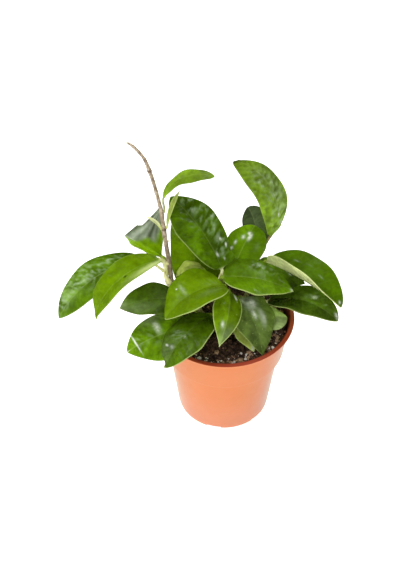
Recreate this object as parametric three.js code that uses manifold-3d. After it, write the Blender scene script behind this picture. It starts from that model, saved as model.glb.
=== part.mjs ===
import * as THREE from "three";
import { mergeVertices } from "three/addons/utils/BufferGeometryUtils.js";
import Module from "manifold-3d";

// A potted hoya plant. Millimetres and degrees, Z up, origin at the middle of the pot's underside.
// X runs to the viewer's right and Y away from the viewer.

// Pot
const POT_HEIGHT = 104;
const LIP_RADIUS = 60;
const LIP_INNER_RADIUS = 56;
const LIP_THICKNESS = 2;
const COLLAR_TOP_RADIUS = 56.5;
const COLLAR_FOOT_RADIUS = 52.3;
const COLLAR_FOOT_Z = 69;
const BODY_TOP_RADIUS = 48.6;
const BODY_FOOT_RADIUS = 41;
const FOOT_RADIUS = 39;
const WALL = 1.3;
const SLOT_COUNT = 6;
const SLOT_FIRST_ANGLE = 257;
const SLOT_WIDTH = 13;
const SLOT_HEIGHT = 2.6;

// Potting mix
const SOIL_TOP_Z = 96.5;
const SOIL_BOTTOM_Z = 1.8;
const SOIL_GAP = 0.6;
const SOIL_RINGS = 11;
const SOIL_SPOKES = 40;
const BARK_BUMPS = 70;
const HOLE_CLEARANCE = 0.35;
const STEM_FOOT_Z = 62;

// Leaves
const PETIOLE_RADIUS = 1.5;
const PETIOLE_GAP = 0.7;
const MIDRIB_THICKNESS = 1.7;
const EDGE_THICKNESS = 0.8;
const WAVE_HEIGHT = 0.8;
const WAVES = 2.3;
const WAVE_SHIFT = 2.4;
const HALF_STEPS = 3;
const BLADE_STATIONS = [0, 0.04, 0.11, 0.2, 0.31, 0.43, 0.55, 0.67, 0.78, 0.88, 0.95, 1];
const PETIOLE_STATIONS = [0, 0.5];
const SHORT_PETIOLE = 8;

// Points on the stems where leaves grow
const VINE_FORK = [-44.5, 8, 134];
const VINE_LOWER = [-45.9, 10.5, 143];
const VINE_MIDDLE = [-47, 13, 152];
const VINE_SPRIG = [-51.5, 25, 180.5];
const VINE_UPPER = [-53, 30, 193.5];
const CROWN = [-3.7, 3.5, 142];
const CROWN_MIDDLE = [-3.1, 3.3, 136];
const CROWN_LOWER = [-2.4, 3, 130];
const CROWN_FOOT = [-1.6, 2.7, 121];
const RIGHT_CROWN = [27, 19, 140];
const RIGHT_MIDDLE = [24, 16.5, 130];
const RIGHT_LOWER = [21, 14, 121];
const FRONT_CROWN = [8.5, -1, 119];
const FRONT_LOWER = [8, -4, 108];
const LEFT_CROWN = [-21, -8, 116];
const LEFT_LOWER = [-16, -6, 107];

// Stems: points from the potting mix to the bud, each with the stem's radius there
const STEMS = {
  stem_vine: [
    [-7, 14, STEM_FOOT_Z, 1.9],
    [-7, 14, 101, 1.9],
    [-14, 12, 110, 1.9],
    [-29, 8, 122, 1.9],
    [...VINE_FORK, 2.3],
    [...VINE_LOWER, 1.8],
    [...VINE_MIDDLE, 2.1],
    [-49.5, 19, 168, 1.7],
    [...VINE_SPRIG, 2.2],
    [-52.4, 28, 188, 1.6],
    [...VINE_UPPER, 1.9],
    [-55.5, 34, 204.5, 1.5],
    [-59.5, 40, 218.5, 1.5],
    [-62.5, 43, 227.5, 1.8],
    [-66.5, 46, 237.5, 1.3],
    [-75, 49, 247.5, 1.2],
    [-80, 50, 251, 0.8],
  ],
  stem_centre: [
    [0, 2, STEM_FOOT_Z, 2.1],
    [0, 2, 101, 2.1],
    [...CROWN_FOOT, 2.2],
    [...CROWN_LOWER, 2.3],
    [...CROWN_MIDDLE, 2.2],
    [...CROWN, 2.3],
    [-3.8, 3.5, 144.5, 1.2],
  ],
  stem_right: [
    [14, 10, STEM_FOOT_Z, 2.1],
    [14, 10, 101, 2.1],
    [...RIGHT_LOWER, 2.3],
    [...RIGHT_MIDDLE, 2.2],
    [...RIGHT_CROWN, 2.3],
    [28, 20, 144, 1.2],
  ],
  stem_front: [
    [8, -6, STEM_FOOT_Z, 2],
    [8, -6, 101, 2],
    [...FRONT_LOWER, 2.2],
    [...FRONT_CROWN, 2.2],
    [8.8, -0.6, 122, 1.2],
  ],
  stem_left: [
    [-13, -4, STEM_FOOT_Z, 2],
    [-13, -4, 101, 2],
    [...LEFT_LOWER, 2.2],
    [...LEFT_CROWN, 2.2],
    [-23, -8, 121, 1],
  ],
};

// Leaves. node is the point on a stem where the petiole grows, base and tip are the two ends of the blade
// and width is its widest part. roll turns the blade about the line from base to tip, droop bends it down
// along its length and sweep bends it sideways. fold raises the left and right halves beside the midrib as
// seen from the base, and cup curls each half down to its edge. belly is the place of the widest part, from
// the base at 0 to the tip at 1, blunt is 1 for a pointed tip and less for a rounder one, and lean makes the
// right half wider and the left half narrower.
const LEAVES = {
  leaf_a: {
    node: VINE_UPPER, base: [-51.4, 32, 207.5], tip: [-9.4, 39.3, 224.7], width: 15.2,
    roll: 0, droop: 98, sweep: 31, fold: [18, 21], cup: 25,
    belly: 0.52, blunt: 0.66, lean: 0.04, tone: "bright",
  },
  leaf_b: {
    node: CROWN, base: [-3, 7, 151], tip: [-46.4, 57.2, 188.4], width: 39,
    roll: -11, droop: 50, sweep: -15, fold: [22, 22], cup: 20,
    belly: 0.55, blunt: 0.84, lean: -0.05, tone: "deep",
  },
  leaf_c: {
    node: LEFT_CROWN, base: [-23.9, 15.6, 112.8], tip: [-36.1, 71.5, 159.3], width: 43.4,
    roll: 18, droop: 35, sweep: 0, fold: [18, 18], cup: 25,
    belly: 0.34, blunt: 0.42, lean: -0.03, tone: "mid",
  },
  leaf_d: {
    node: RIGHT_CROWN, base: [39.4, 45.9, 154.3], tip: [7.2, 90.7, 199.7], width: 37,
    roll: 27, droop: 138, sweep: -21, fold: [6, 10], cup: 27,
    belly: 0.46, blunt: 0.79, lean: -0.04, tone: "pale",
  },
  leaf_e: {
    node: RIGHT_MIDDLE, base: [29.3, 42.1, 143.0], tip: [21.5, 90.9, 148.6], width: 26.5,
    roll: -18, droop: 30, sweep: -26, fold: [15, 15], cup: 27,
    belly: 0.47, blunt: 0.55, lean: 0.11, tone: "deep",
  },
  leaf_f: {
    node: CROWN_MIDDLE, base: [10.9, 21.8, 141.5], tip: [26.2, 58.5, 154.9], width: 34.6,
    roll: 8, droop: 57, sweep: -1, fold: [19, 21], cup: 22,
    belly: 0.48, blunt: 0.62, lean: 0.13, tone: "mid",
  },
  leaf_g: {
    node: CROWN, base: [-1, 1, 148], tip: [57, -6, 138], width: 46,
    roll: -4, droop: 30, sweep: 12, fold: [22, 22], cup: 23,
    belly: 0.42, blunt: 1, lean: 0, tone: "mid",
  },
  leaf_h: {
    node: RIGHT_CROWN, base: [35.1, 23.3, 145.6], tip: [96.7, -16.8, 129.8], width: 50,
    roll: -2, droop: 35, sweep: -3, fold: [20, 70], cup: 0,
    belly: 0.48, blunt: 0.61, lean: 0, tone: "deep",
  },
  leaf_i: {
    node: RIGHT_LOWER, base: [36.6, 3.1, 117.4], tip: [93.6, -26.7, 123.6], width: 42.4,
    roll: -12, droop: 59, sweep: 23, fold: [19, 15], cup: 20,
    belly: 0.41, blunt: 0.76, lean: -0.06, tone: "dark",
  },
  leaf_j: {
    node: RIGHT_LOWER, base: [29.7, 35.7, 134.6], tip: [69.9, 25.5, 116.8], width: 38,
    roll: -17, droop: 34, sweep: 1, fold: [9, 7], cup: 28,
    belly: 0.41, blunt: 0.87, lean: 0.06, tone: "dark",
  },
  leaf_k: {
    node: VINE_LOWER, base: [-67, 29.3, 139], tip: [-142, -5.3, 105.3], width: 39.5,
    roll: -3, droop: 76, sweep: -22, fold: [18, 17], cup: 24,
    belly: 0.51, blunt: 0.8, lean: 0.1, tone: "deep",
  },
  leaf_l: {
    node: VINE_FORK, base: [-54.1, 10.6, 158.2], tip: [-108.8, -16.1, 115.1], width: 29.5,
    roll: -7, droop: 108, sweep: 0, fold: [39, 28], cup: 18,
    belly: 0.46, blunt: 0.88, lean: 0.02, tone: "bright",
  },
  leaf_m: {
    node: VINE_MIDDLE, base: [-54.1, 26.6, 148], tip: [-86.3, 51.6, 150], width: 54.6,
    roll: 58, droop: -9, sweep: 1, fold: [-28, 123], cup: -14,
    belly: 0.46, blunt: 0.93, lean: 0.31, tone: "silver",
  },
  leaf_n: {
    node: LEFT_CROWN, base: [-36.8, -2.9, 123.1], tip: [-89, -10.1, 122], width: 38.4,
    roll: 0, droop: 43, sweep: -15, fold: [17, 18], cup: 25,
    belly: 0.47, blunt: 0.87, lean: 0.02, tone: "dark",
  },
  leaf_o: {
    node: CROWN_LOWER, base: [-1.1, -4.3, 143.4], tip: [-50.2, -30.1, 129.4], width: 52,
    roll: 6, droop: 77, sweep: 0, fold: [26, 18], cup: 17,
    belly: 0.38, blunt: 0.88, lean: 0.01, tone: "bright",
  },
  leaf_p: {
    node: CROWN_LOWER, base: [-18.8, 21.6, 137.8], tip: [-41.4, 13.9, 136.3], width: 14,
    roll: 10, droop: 120, sweep: 0, fold: [20, 20], cup: 20,
    belly: 0.5, blunt: 1, lean: 0, tone: "bright",
  },
  leaf_q: {
    node: LEFT_LOWER, base: [-25.1, -17.7, 110.6], tip: [-82.2, -45, 105.6], width: 46.3,
    roll: -11, droop: 23, sweep: -11, fold: [10, 9], cup: 30,
    belly: 0.51, blunt: 0.83, lean: -0.03, tone: "mid",
  },
  leaf_r: {
    node: LEFT_CROWN, base: [-11.3, -21.3, 125.2], tip: [-50.5, -62.8, 105.5], width: 43.2,
    roll: 17, droop: 51, sweep: -3, fold: [11, 17], cup: 24,
    belly: 0.47, blunt: 0.76, lean: -0.05, tone: "deep",
  },
  leaf_s: {
    node: CROWN_FOOT, base: [3.2, -9.4, 140.9], tip: [-5.6, -53.2, 120.9], width: 25.2,
    roll: -16, droop: 48, sweep: 15, fold: [14, 15], cup: 27,
    belly: 0.37, blunt: 1.19, lean: 0.08, tone: "bright",
  },
  leaf_t: {
    node: FRONT_CROWN, base: [12.9, 1.4, 124.0], tip: [31.1, -43.7, 99.6], width: 43.6,
    roll: -20, droop: 56, sweep: -15, fold: [22, 20], cup: 22,
    belly: 0.39, blunt: 1.14, lean: -0.02, tone: "deep",
  },
  leaf_u: {
    node: FRONT_LOWER, base: [18.9, -3.7, 108.2], tip: [53.4, -3.2, 104.3], width: 34,
    roll: -4, droop: 13, sweep: -21, fold: [11, 13], cup: 29,
    belly: 0.48, blunt: 0.59, lean: 0.02, tone: "silver",
  },
  leaf_v: {
    node: FRONT_LOWER, base: [7, -9.5, 110], tip: [24, -39.6, 100.1], width: 19.1,
    roll: -10, droop: 33, sweep: 0, fold: [12, 12], cup: 30,
    belly: 0.44, blunt: 0.92, lean: -0.02, tone: "mid",
  },
  leaflet_left: {
    node: VINE_SPRIG, base: [-54, 23, 184], tip: [-66, 30, 190], width: 4,
    roll: 0, droop: 35, sweep: 0, fold: [35, 35], cup: 5,
    belly: 0.4, blunt: 1, lean: 0, tone: "lime", slim: true,
  },
  leaflet_right: {
    node: VINE_SPRIG, base: [-48.5, 25, 184], tip: [-38, 45, 205], width: 6,
    roll: 10, droop: 10, sweep: 25, fold: [40, 40], cup: 5,
    belly: 0.6, blunt: 1, lean: 0, tone: "lime", slim: true,
  },
};

const TONES = {
  bright: 0x6d9c10,
  mid: 0x55870d,
  deep: 0x35610f,
  dark: 0x263d10,
  pale: 0x7ba32c,
  silver: 0x7f9a74,
  lime: 0xb9c46a,
};

const radians = THREE.MathUtils.degToRad;

// A repeatable sequence of numbers between 0 and 1
function seeded(seed) {
  let state = seed;
  return () => {
    state = (state * 16807) % 2147483647;
    return state / 2147483647;
  };
}

// Closes a stack of rings, each a loop of the same number of points, into one solid skin.
// upper counts the points at the start of a ring that lie on its upper face.
function loft(rings, upper) {
  const count = rings[0].length;
  const positions = [];
  const index = [];
  for (const ring of rings) {
    for (const point of ring) positions.push(point.x, point.y, point.z);
  }
  for (let i = 0; i + 1 < rings.length; i++) {
    for (let j = 0; j < count; j++) {
      const a = i * count + j;
      const b = i * count + ((j + 1) % count);
      const c = a + count;
      const d = b + count;
      const left = j < upper ? j < (upper - 1) / 2 : j >= upper + (upper - 1) / 2;
      const leaning = j < upper ? left : !left;
      if (leaning) index.push(a, b, d, a, d, c);
      else index.push(a, b, c, b, d, c);
    }
  }
  const last = (rings.length - 1) * count;
  for (let j = 1; j + 1 < count; j++) {
    index.push(0, j + 1, j);
    index.push(last, last + j, last + j + 1);
  }
  const geometry = new THREE.BufferGeometry();
  geometry.setAttribute("position", new THREE.Float32BufferAttribute(positions, 3));
  geometry.setIndex(index);
  if (signedVolume(geometry) < 0) {
    for (let k = 0; k < index.length; k += 3) {
      [index[k + 1], index[k + 2]] = [index[k + 2], index[k + 1]];
    }
    geometry.setIndex(index);
  }
  geometry.computeVertexNormals();
  return geometry;
}

function signedVolume(geometry) {
  const p = geometry.getAttribute("position");
  const index = geometry.getIndex();
  const a = new THREE.Vector3();
  const b = new THREE.Vector3();
  const c = new THREE.Vector3();
  let total = 0;
  for (let k = 0; k < index.count; k += 3) {
    a.fromBufferAttribute(p, index.getX(k));
    b.fromBufferAttribute(p, index.getX(k + 1));
    c.fromBufferAttribute(p, index.getX(k + 2));
    total += a.dot(b.cross(c)) / 6;
  }
  return total;
}

// A round stem through points that each carry a radius as the fourth number
function stemGeometry(points) {
  const sides = 8;
  const steps = 2;
  const curve = new THREE.CatmullRomCurve3(
    points.map(([x, y, z]) => new THREE.Vector3(x, y, z)),
    false,
    "centripetal",
  );
  const spans = points.length - 1;
  const rings = [];
  let side = new THREE.Vector3(1, 0, 0);
  for (let i = 0; i <= spans * steps; i++) {
    const t = i / (spans * steps);
    const k = Math.min(Math.floor(i / steps), spans - 1);
    const radius = THREE.MathUtils.lerp(points[k][3], points[k + 1][3], i / steps - k);
    const centre = i < steps + 1 ? straightPart(points, i / steps) : curve.getPoint(t);
    const along = i < steps + 1 ? new THREE.Vector3(0, 0, 1) : curve.getTangent(t);
    side = side.clone().addScaledVector(along, -side.dot(along)).normalize();
    const other = new THREE.Vector3().crossVectors(along, side);
    const ring = [];
    for (let j = 0; j < sides; j++) {
      const angle = (j / sides) * 2 * Math.PI;
      ring.push(
        centre
          .clone()
          .addScaledVector(side, radius * Math.cos(angle))
          .addScaledVector(other, radius * Math.sin(angle)),
      );
    }
    rings.push(ring);
  }
  return loft(rings, sides);
}

// The foot of every stem is upright in its hole
function straightPart(points, t) {
  const low = new THREE.Vector3(...points[0].slice(0, 3));
  const high = new THREE.Vector3(...points[1].slice(0, 3));
  return low.lerp(high, Math.min(t, 1));
}

// Half the blade's width at t, as a share of the widest part: blunt at the base and more or less at the tip
function halfOutline(t, leaf) {
  if (t < leaf.belly) return Math.pow(1 - Math.pow(1 - t / leaf.belly, 2), 0.55);
  return Math.pow(1 - Math.pow((t - leaf.belly) / (1 - leaf.belly), 1.8), leaf.blunt);
}

// The midrib of a blade of length 1 that starts at 0 and heads along Y with its face up:
// position, sideways and face directions at t
function midribAt(t, droop, sweep) {
  const steps = 40;
  const position = new THREE.Vector3();
  for (let i = 0; i < steps; i++) {
    const s = ((i + 0.5) / steps) * t;
    position.addScaledVector(heading(radians(droop) * s, radians(sweep) * s), t / steps);
  }
  const down = radians(droop) * t;
  const aside = radians(sweep) * t;
  return {
    position,
    across: new THREE.Vector3(Math.cos(aside), -Math.sin(aside), 0),
    face: new THREE.Vector3(
      Math.sin(down) * Math.sin(aside),
      Math.sin(down) * Math.cos(aside),
      Math.cos(down),
    ),
  };
}

function heading(down, aside) {
  return new THREE.Vector3(
    Math.sin(aside) * Math.cos(down),
    Math.cos(aside) * Math.cos(down),
    -Math.sin(down),
  );
}

// Three directions: across, along, and a face turned up as far as it can be and then rolled about along
function directions(along, roll) {
  const forward = along.clone().normalize();
  const face = new THREE.Vector3(0, 0, 1);
  face.addScaledVector(forward, -face.dot(forward)).normalize();
  face.applyAxisAngle(forward, radians(roll));
  const across = new THREE.Vector3().crossVectors(forward, face);
  return new THREE.Matrix4().makeBasis(across, forward, face);
}

// How steeply a half rises at a place from 0 at the midrib to 1 at its edge
function slopeAt(side, reach, t, leaf) {
  return radians(leaf.fold[side < 0 ? 0 : 1] * (1 - 0.4 * t) - leaf.cup * reach);
}

// Direction of the upper face at u as sideways and upward parts, halfway between the two halves at the midrib
function normalAt(u, t, leaf) {
  const sides = u === 0 ? [-1, 1] : [Math.sign(u)];
  let out = 0;
  let up = 0;
  for (const side of sides) {
    const slope = slopeAt(side, Math.abs(u), t, leaf);
    out -= side * Math.sin(slope);
    up += Math.cos(slope);
  }
  const size = Math.hypot(out, up);
  return { out: out / size, up: up / size };
}

// Sideways and upward reach of the cross-section at u, from -1 at one edge through 0 at the midrib to 1
function sectionAt(u, t, leaf) {
  const steps = 8;
  const reach = Math.abs(u);
  let out = 0;
  let up = 0;
  for (let i = 0; i < steps; i++) {
    const s = ((i + 0.5) / steps) * reach;
    const slope = slopeAt(u, s, t, leaf);
    out += (Math.cos(slope) * reach) / steps;
    up += (Math.sin(slope) * reach) / steps;
  }
  return { out: Math.sign(u) * out, up };
}

// Rise of the waved margin, in millimetres: none at the midrib and at both ends of the blade, and each leaf
// and each half of it in another phase
function waveAt(u, t, order) {
  const phase = WAVE_SHIFT * order + (u < 0 ? 0 : 2);
  const height = WAVE_HEIGHT * Math.abs(u) ** 3 * Math.sin(Math.PI * t);
  return height * Math.sin(2 * Math.PI * WAVES * t + phase);
}

function leafGeometry(leaf, order) {
  const base = new THREE.Vector3(...leaf.base);
  const chord = new THREE.Vector3(...leaf.tip).sub(base);
  const local = midribAt(1, leaf.droop, leaf.sweep).position;
  const length = chord.length() / local.length();
  const turn = directions(chord, leaf.roll).multiply(directions(local, 0).transpose());
  const petiole = leaf.slim ? 0.6 * PETIOLE_RADIUS : PETIOLE_RADIUS;
  const points = 2 * HALF_STEPS + 1;
  const rings = [];

  // Petiole: from just clear of the stem to the base of the blade
  const start = petioleStart(leaf);
  const blade = midribAt(0, leaf.droop, leaf.sweep);
  const across = blade.across.clone().transformDirection(turn);
  const face = blade.face.clone().transformDirection(turn);
  const forward = new THREE.Vector3().crossVectors(face, across);
  const pull = start.point.distanceTo(base) / 3;
  const curve = new THREE.CubicBezierCurve3(
    start.point,
    start.point.clone().addScaledVector(start.lead, pull),
    base.clone().addScaledVector(forward, -pull),
    base,
  );
  const short = start.point.distanceTo(base) < SHORT_PETIOLE;
  for (const t of short ? [0] : PETIOLE_STATIONS) {
    const centre = curve.getPoint(t);
    const along = curve.getTangent(t);
    const side = across.clone().addScaledVector(along, -across.dot(along)).normalize();
    const up = new THREE.Vector3().crossVectors(side, along);
    rings.push(roundRing(centre, side, up, petiole, points));
  }

  for (const t of BLADE_STATIONS) {
    const rib = midribAt(t, leaf.droop, leaf.sweep);
    const half = Math.max((leaf.width / 2) * halfOutline(t, leaf), t === 0 ? petiole : 0.7);
    const centre = rib.position.clone().multiplyScalar(length).applyMatrix4(turn).add(base);
    const side = rib.across.clone().transformDirection(turn);
    const up = rib.face.clone().transformDirection(turn);
    if (t === 0) {
      rings.push(roundRing(centre, side, up, petiole, points));
      continue;
    }
    const thick = THREE.MathUtils.lerp(MIDRIB_THICKNESS, EDGE_THICKNESS, t ** 4);
    const upper = [];
    const lower = [];
    for (let j = 0; j < points; j++) {
      const u = (j - HALF_STEPS) / HALF_STEPS;
      const section = sectionAt(u, t, leaf);
      const reach = half * (1 + Math.sign(u) * leaf.lean);
      const middle = centre
        .clone()
        .addScaledVector(side, section.out * reach)
        .addScaledVector(up, section.up * reach + (leaf.slim ? 0 : waveAt(u, t, order)));
      const full = THREE.MathUtils.lerp(thick, EDGE_THICKNESS, Math.sqrt(Math.abs(u)));
      const thickness = leaf.slim ? 0.8 * full : full;
      const normal = normalAt(u, t, leaf);
      const rise = side.clone().multiplyScalar(normal.out).addScaledVector(up, normal.up);
      upper.push(middle.clone().addScaledVector(rise, thickness / 2));
      lower.unshift(middle.clone().addScaledVector(rise, -thickness / 2));
    }
    rings.push([...upper, ...lower]);
  }
  return loft(rings, points);
}

function roundRing(centre, side, up, radius, points) {
  const ring = [];
  for (let j = 0; j < 2 * points; j++) {
    const angle = Math.PI - ((j + 0.5) / points) * Math.PI;
    ring.push(
      centre
        .clone()
        .addScaledVector(side, radius * Math.cos(angle))
        .addScaledVector(up, radius * Math.sin(angle)),
    );
  }
  return ring;
}

// Where a petiole leaves its stem, on the side of the blade and with a small gap, and its direction there:
// halfway from square to the stem to straight at the blade
function petioleStart(leaf) {
  for (const points of Object.values(STEMS)) {
    for (let i = 1; i + 1 < points.length; i++) {
      if (points[i][0] !== leaf.node[0] || points[i][2] !== leaf.node[2]) continue;
      const node = new THREE.Vector3(...leaf.node);
      const along = new THREE.Vector3(...points[i + 1].slice(0, 3))
        .sub(new THREE.Vector3(...points[i - 1].slice(0, 3)))
        .normalize();
      const base = new THREE.Vector3(...leaf.base);
      const out = new THREE.Vector3(...leaf.tip).sub(base).multiplyScalar(0.3).add(base).sub(node);
      out.addScaledVector(along, -out.dot(along)).normalize();
      const lead = base.clone().sub(node).normalize().add(out).normalize();
      const tilt = Math.sqrt(Math.max(0, 1 - lead.dot(out) ** 2));
      const reach = points[i][3] + PETIOLE_GAP + PETIOLE_RADIUS * tilt;
      return { point: node.addScaledVector(out, reach), lead };
    }
  }
  throw new Error("a leaf has no stem");
}

// Solid booleans for the drainage slots and the stem holes
const wasm = await Module();
wasm.setup();

function solidOf(geometry) {
  const bare = geometry.clone();
  for (const name of Object.keys(bare.attributes)) if (name !== "position") bare.deleteAttribute(name);
  const merged = mergeVertices(bare, 1e-3);
  return new wasm.Manifold(
    new wasm.Mesh({
      numProp: 3,
      vertProperties: new Float32Array(merged.getAttribute("position").array),
      triVerts: new Uint32Array(merged.getIndex().array),
    }),
  );
}

function geometryOf(solid) {
  const mesh = solid.getMesh();
  const geometry = new THREE.BufferGeometry();
  geometry.setAttribute("position", new THREE.Float32BufferAttribute(mesh.vertProperties, 3));
  geometry.setIndex(Array.from(mesh.triVerts));
  geometry.computeVertexNormals();
  return geometry;
}

function lathe(profile, segments) {
  const geometry = new THREE.LatheGeometry(
    profile.map(([r, z]) => new THREE.Vector2(r, z)),
    segments,
  );
  geometry.rotateX(Math.PI / 2);
  return geometry;
}

function potGeometry() {
  const under = POT_HEIGHT - LIP_THICKNESS;
  const profile = [
    [0, 0],
    [FOOT_RADIUS, 0],
    [FOOT_RADIUS + 1.3, 0.8],
    [BODY_FOOT_RADIUS, 4],
    [BODY_TOP_RADIUS, COLLAR_FOOT_Z - 1],
    [COLLAR_FOOT_RADIUS, COLLAR_FOOT_Z],
    [COLLAR_TOP_RADIUS, under],
    [LIP_RADIUS - 0.5, under],
    [LIP_RADIUS, under + 0.5],
    [LIP_RADIUS, POT_HEIGHT - 0.5],
    [LIP_RADIUS - 0.5, POT_HEIGHT],
    [LIP_INNER_RADIUS, POT_HEIGHT],
    [COLLAR_TOP_RADIUS - WALL, under],
    [COLLAR_FOOT_RADIUS - WALL, COLLAR_FOOT_Z + WALL],
    [BODY_TOP_RADIUS - WALL, COLLAR_FOOT_Z],
    [BODY_FOOT_RADIUS - WALL, 4],
    [FOOT_RADIUS - 0.5, WALL],
    [0, WALL],
  ];
  let pot = solidOf(lathe(profile, 56));
  for (let i = 0; i < SLOT_COUNT; i++) {
    const slot = new THREE.BoxGeometry(12, SLOT_WIDTH, 2 * SLOT_HEIGHT);
    slot.translate(FOOT_RADIUS + 2, 0, 0);
    slot.rotateZ(radians(SLOT_FIRST_ANGLE + (360 / SLOT_COUNT) * i));
    pot = pot.subtract(solidOf(slot));
  }
  return geometryOf(pot);
}

// Height of the potting mix above its level: rounded lumps of bark at seeded places
const lumps = [];
const chance = seeded(41);
for (let i = 0; i < BARK_BUMPS; i++) {
  const distance = 54 * Math.sqrt(chance());
  const angle = 2 * Math.PI * chance();
  lumps.push({
    x: distance * Math.cos(angle),
    y: distance * Math.sin(angle),
    size: 3 + 4 * chance(),
    height: 1 + 2 * chance(),
  });
}

function lumpHeight(x, y) {
  let height = 0;
  for (const lump of lumps) {
    const near = ((x - lump.x) ** 2 + (y - lump.y) ** 2) / lump.size ** 2;
    height = Math.max(height, lump.height * Math.max(0, 1 - near));
  }
  return height;
}

function soilGeometry() {
  const inner = (z) => {
    if (z > COLLAR_FOOT_Z + WALL) {
      const share = (z - COLLAR_FOOT_Z) / (POT_HEIGHT - LIP_THICKNESS - COLLAR_FOOT_Z);
      return THREE.MathUtils.lerp(COLLAR_FOOT_RADIUS, COLLAR_TOP_RADIUS, share) - WALL - SOIL_GAP;
    }
    const share = (z - 4) / (COLLAR_FOOT_Z - 5);
    return THREE.MathUtils.lerp(BODY_FOOT_RADIUS, BODY_TOP_RADIUS, share) - WALL - SOIL_GAP;
  };
  const rim = inner(SOIL_TOP_Z);
  const stack = [];
  for (let i = 1; i <= SOIL_RINGS; i++) {
    const r = (rim * i) / SOIL_RINGS;
    const ring = [];
    for (let j = 0; j < SOIL_SPOKES; j++) {
      const angle = (j / SOIL_SPOKES) * 2 * Math.PI;
      const x = r * Math.cos(angle);
      const y = r * Math.sin(angle);
      const z = SOIL_TOP_Z + (i === SOIL_RINGS ? 0 : lumpHeight(x, y));
      ring.push(new THREE.Vector3(x, y, z));
    }
    stack.push(ring);
  }
  const sides = [
    [inner(COLLAR_FOOT_Z + WALL + 1), COLLAR_FOOT_Z + WALL + 1],
    [BODY_TOP_RADIUS - WALL - SOIL_GAP, COLLAR_FOOT_Z + 0.6],
    [inner(5), 5],
    [FOOT_RADIUS - 2, SOIL_BOTTOM_Z],
  ];
  for (const [r, z] of sides) {
    const ring = [];
    for (let j = 0; j < SOIL_SPOKES; j++) {
      const angle = (j / SOIL_SPOKES) * 2 * Math.PI;
      ring.push(new THREE.Vector3(r * Math.cos(angle), r * Math.sin(angle), z));
    }
    stack.push(ring);
  }
  let soil = solidOf(loft(stack, 1));
  for (const points of Object.values(STEMS)) {
    const [x, y, , radius] = points[0];
    const top = SOIL_TOP_Z + 20;
    const bottom = STEM_FOOT_Z - HOLE_CLEARANCE;
    const wide = radius + HOLE_CLEARANCE;
    const hole = new THREE.CylinderGeometry(wide, wide, top - bottom, 16);
    hole.rotateX(Math.PI / 2);
    hole.translate(x, y, (top + bottom) / 2);
    soil = soil.subtract(solidOf(hole));
  }
  return geometryOf(soil);
}

function mesh(name, geometry, color, roughness) {
  const material = new THREE.MeshStandardMaterial({ color, roughness, metalness: 0 });
  const made = new THREE.Mesh(geometry, material);
  made.name = name;
  return made;
}

const plant = new THREE.Group();
plant.add(mesh("pot", potGeometry(), 0xe58f63, 0.55));
plant.add(mesh("soil", soilGeometry(), 0x2a1d18, 0.95));
for (const [name, points] of Object.entries(STEMS)) {
  plant.add(mesh(name, stemGeometry(points), name === "stem_vine" ? 0x8f7a66 : 0x8a8f55, 0.7));
}
for (const [order, [name, leaf]] of Object.entries(LEAVES).entries()) {
  plant.add(mesh(name, leafGeometry(leaf, order), TONES[leaf.tone], 0.35));
}

export default plant;
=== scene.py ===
"""The looks of a potted hoya plant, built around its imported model.

Sizes are in millimetres until a mesh is made, and in metres after that. The origin is the middle of the
pot's underside, with X to the viewer's right, Y away from the viewer and Z up.
"""

import math
import random

import bmesh
import bpy
import numpy as np
from mathutils import Matrix, Vector, noise


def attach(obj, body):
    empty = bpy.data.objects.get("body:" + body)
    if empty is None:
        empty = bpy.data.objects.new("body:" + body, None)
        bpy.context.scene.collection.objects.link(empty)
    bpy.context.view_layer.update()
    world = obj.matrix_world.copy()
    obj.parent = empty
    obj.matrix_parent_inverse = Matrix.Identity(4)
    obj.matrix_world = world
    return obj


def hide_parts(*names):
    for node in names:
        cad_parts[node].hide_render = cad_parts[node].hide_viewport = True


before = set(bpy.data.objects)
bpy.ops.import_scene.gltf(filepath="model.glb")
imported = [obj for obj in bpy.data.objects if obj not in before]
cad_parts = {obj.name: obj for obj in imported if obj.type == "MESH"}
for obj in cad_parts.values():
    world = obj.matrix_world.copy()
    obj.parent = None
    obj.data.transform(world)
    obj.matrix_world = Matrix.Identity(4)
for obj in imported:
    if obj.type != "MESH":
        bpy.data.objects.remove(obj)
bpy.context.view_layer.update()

MM = 0.001

# Camera: a pinhole 1 m from the middle of the plant that looks down 44 degrees
CAMERA_TARGET = Vector((-21.3, 0.0, 139.9)) * MM
CAMERA_DISTANCE = 1.0
CAMERA_DOWN = math.radians(44)
FOCAL_PIXELS = 1191
FRAME_HEIGHT_PIXELS = 570
SENSOR = 36.0

# Pot
POT_HEIGHT = 104
LIP_RADIUS = 60
LIP_INNER_RADIUS = 56
LIP_THICKNESS = 2
COLLAR_TOP_RADIUS = 56.5
COLLAR_FOOT_RADIUS = 52.3
COLLAR_FOOT_Z = 69
BODY_TOP_RADIUS = 48.6
BODY_TOP_Z = 68
BODY_FOOT_RADIUS = 41
BODY_FOOT_Z = 4
FOOT_RADIUS = 39
WALL = 1.3
# Inward faces above this height take the inner plastic, painted dark as shade
INNER_SHADE_FROM_Z = 10
POT_SEGMENTS = 168
CORNER_STEPS = 5
SHARP_DEGREES = 35
SLOT_COUNT = 6
SLOT_FIRST_DEGREES = 257
SLOT_WIDTH = 13
SLOT_HEIGHT = 2.6
# The pot's body is painted paler towards the foot as light, fading out at this height
PAINTED_FOOT_LIGHT_TOP = 55

# Potting mix
SOIL_TOP_Z = 96.5
SOIL_BOTTOM_Z = 1.8
SOIL_GAP = 0.6
SOIL_SPOKES = 220
SOIL_RINGS = 66
LUMP_COUNT = 70
LUMP_REACH = 54
LUMP_SEED = 41
SOIL_LEVEL_RIM = 3

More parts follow.
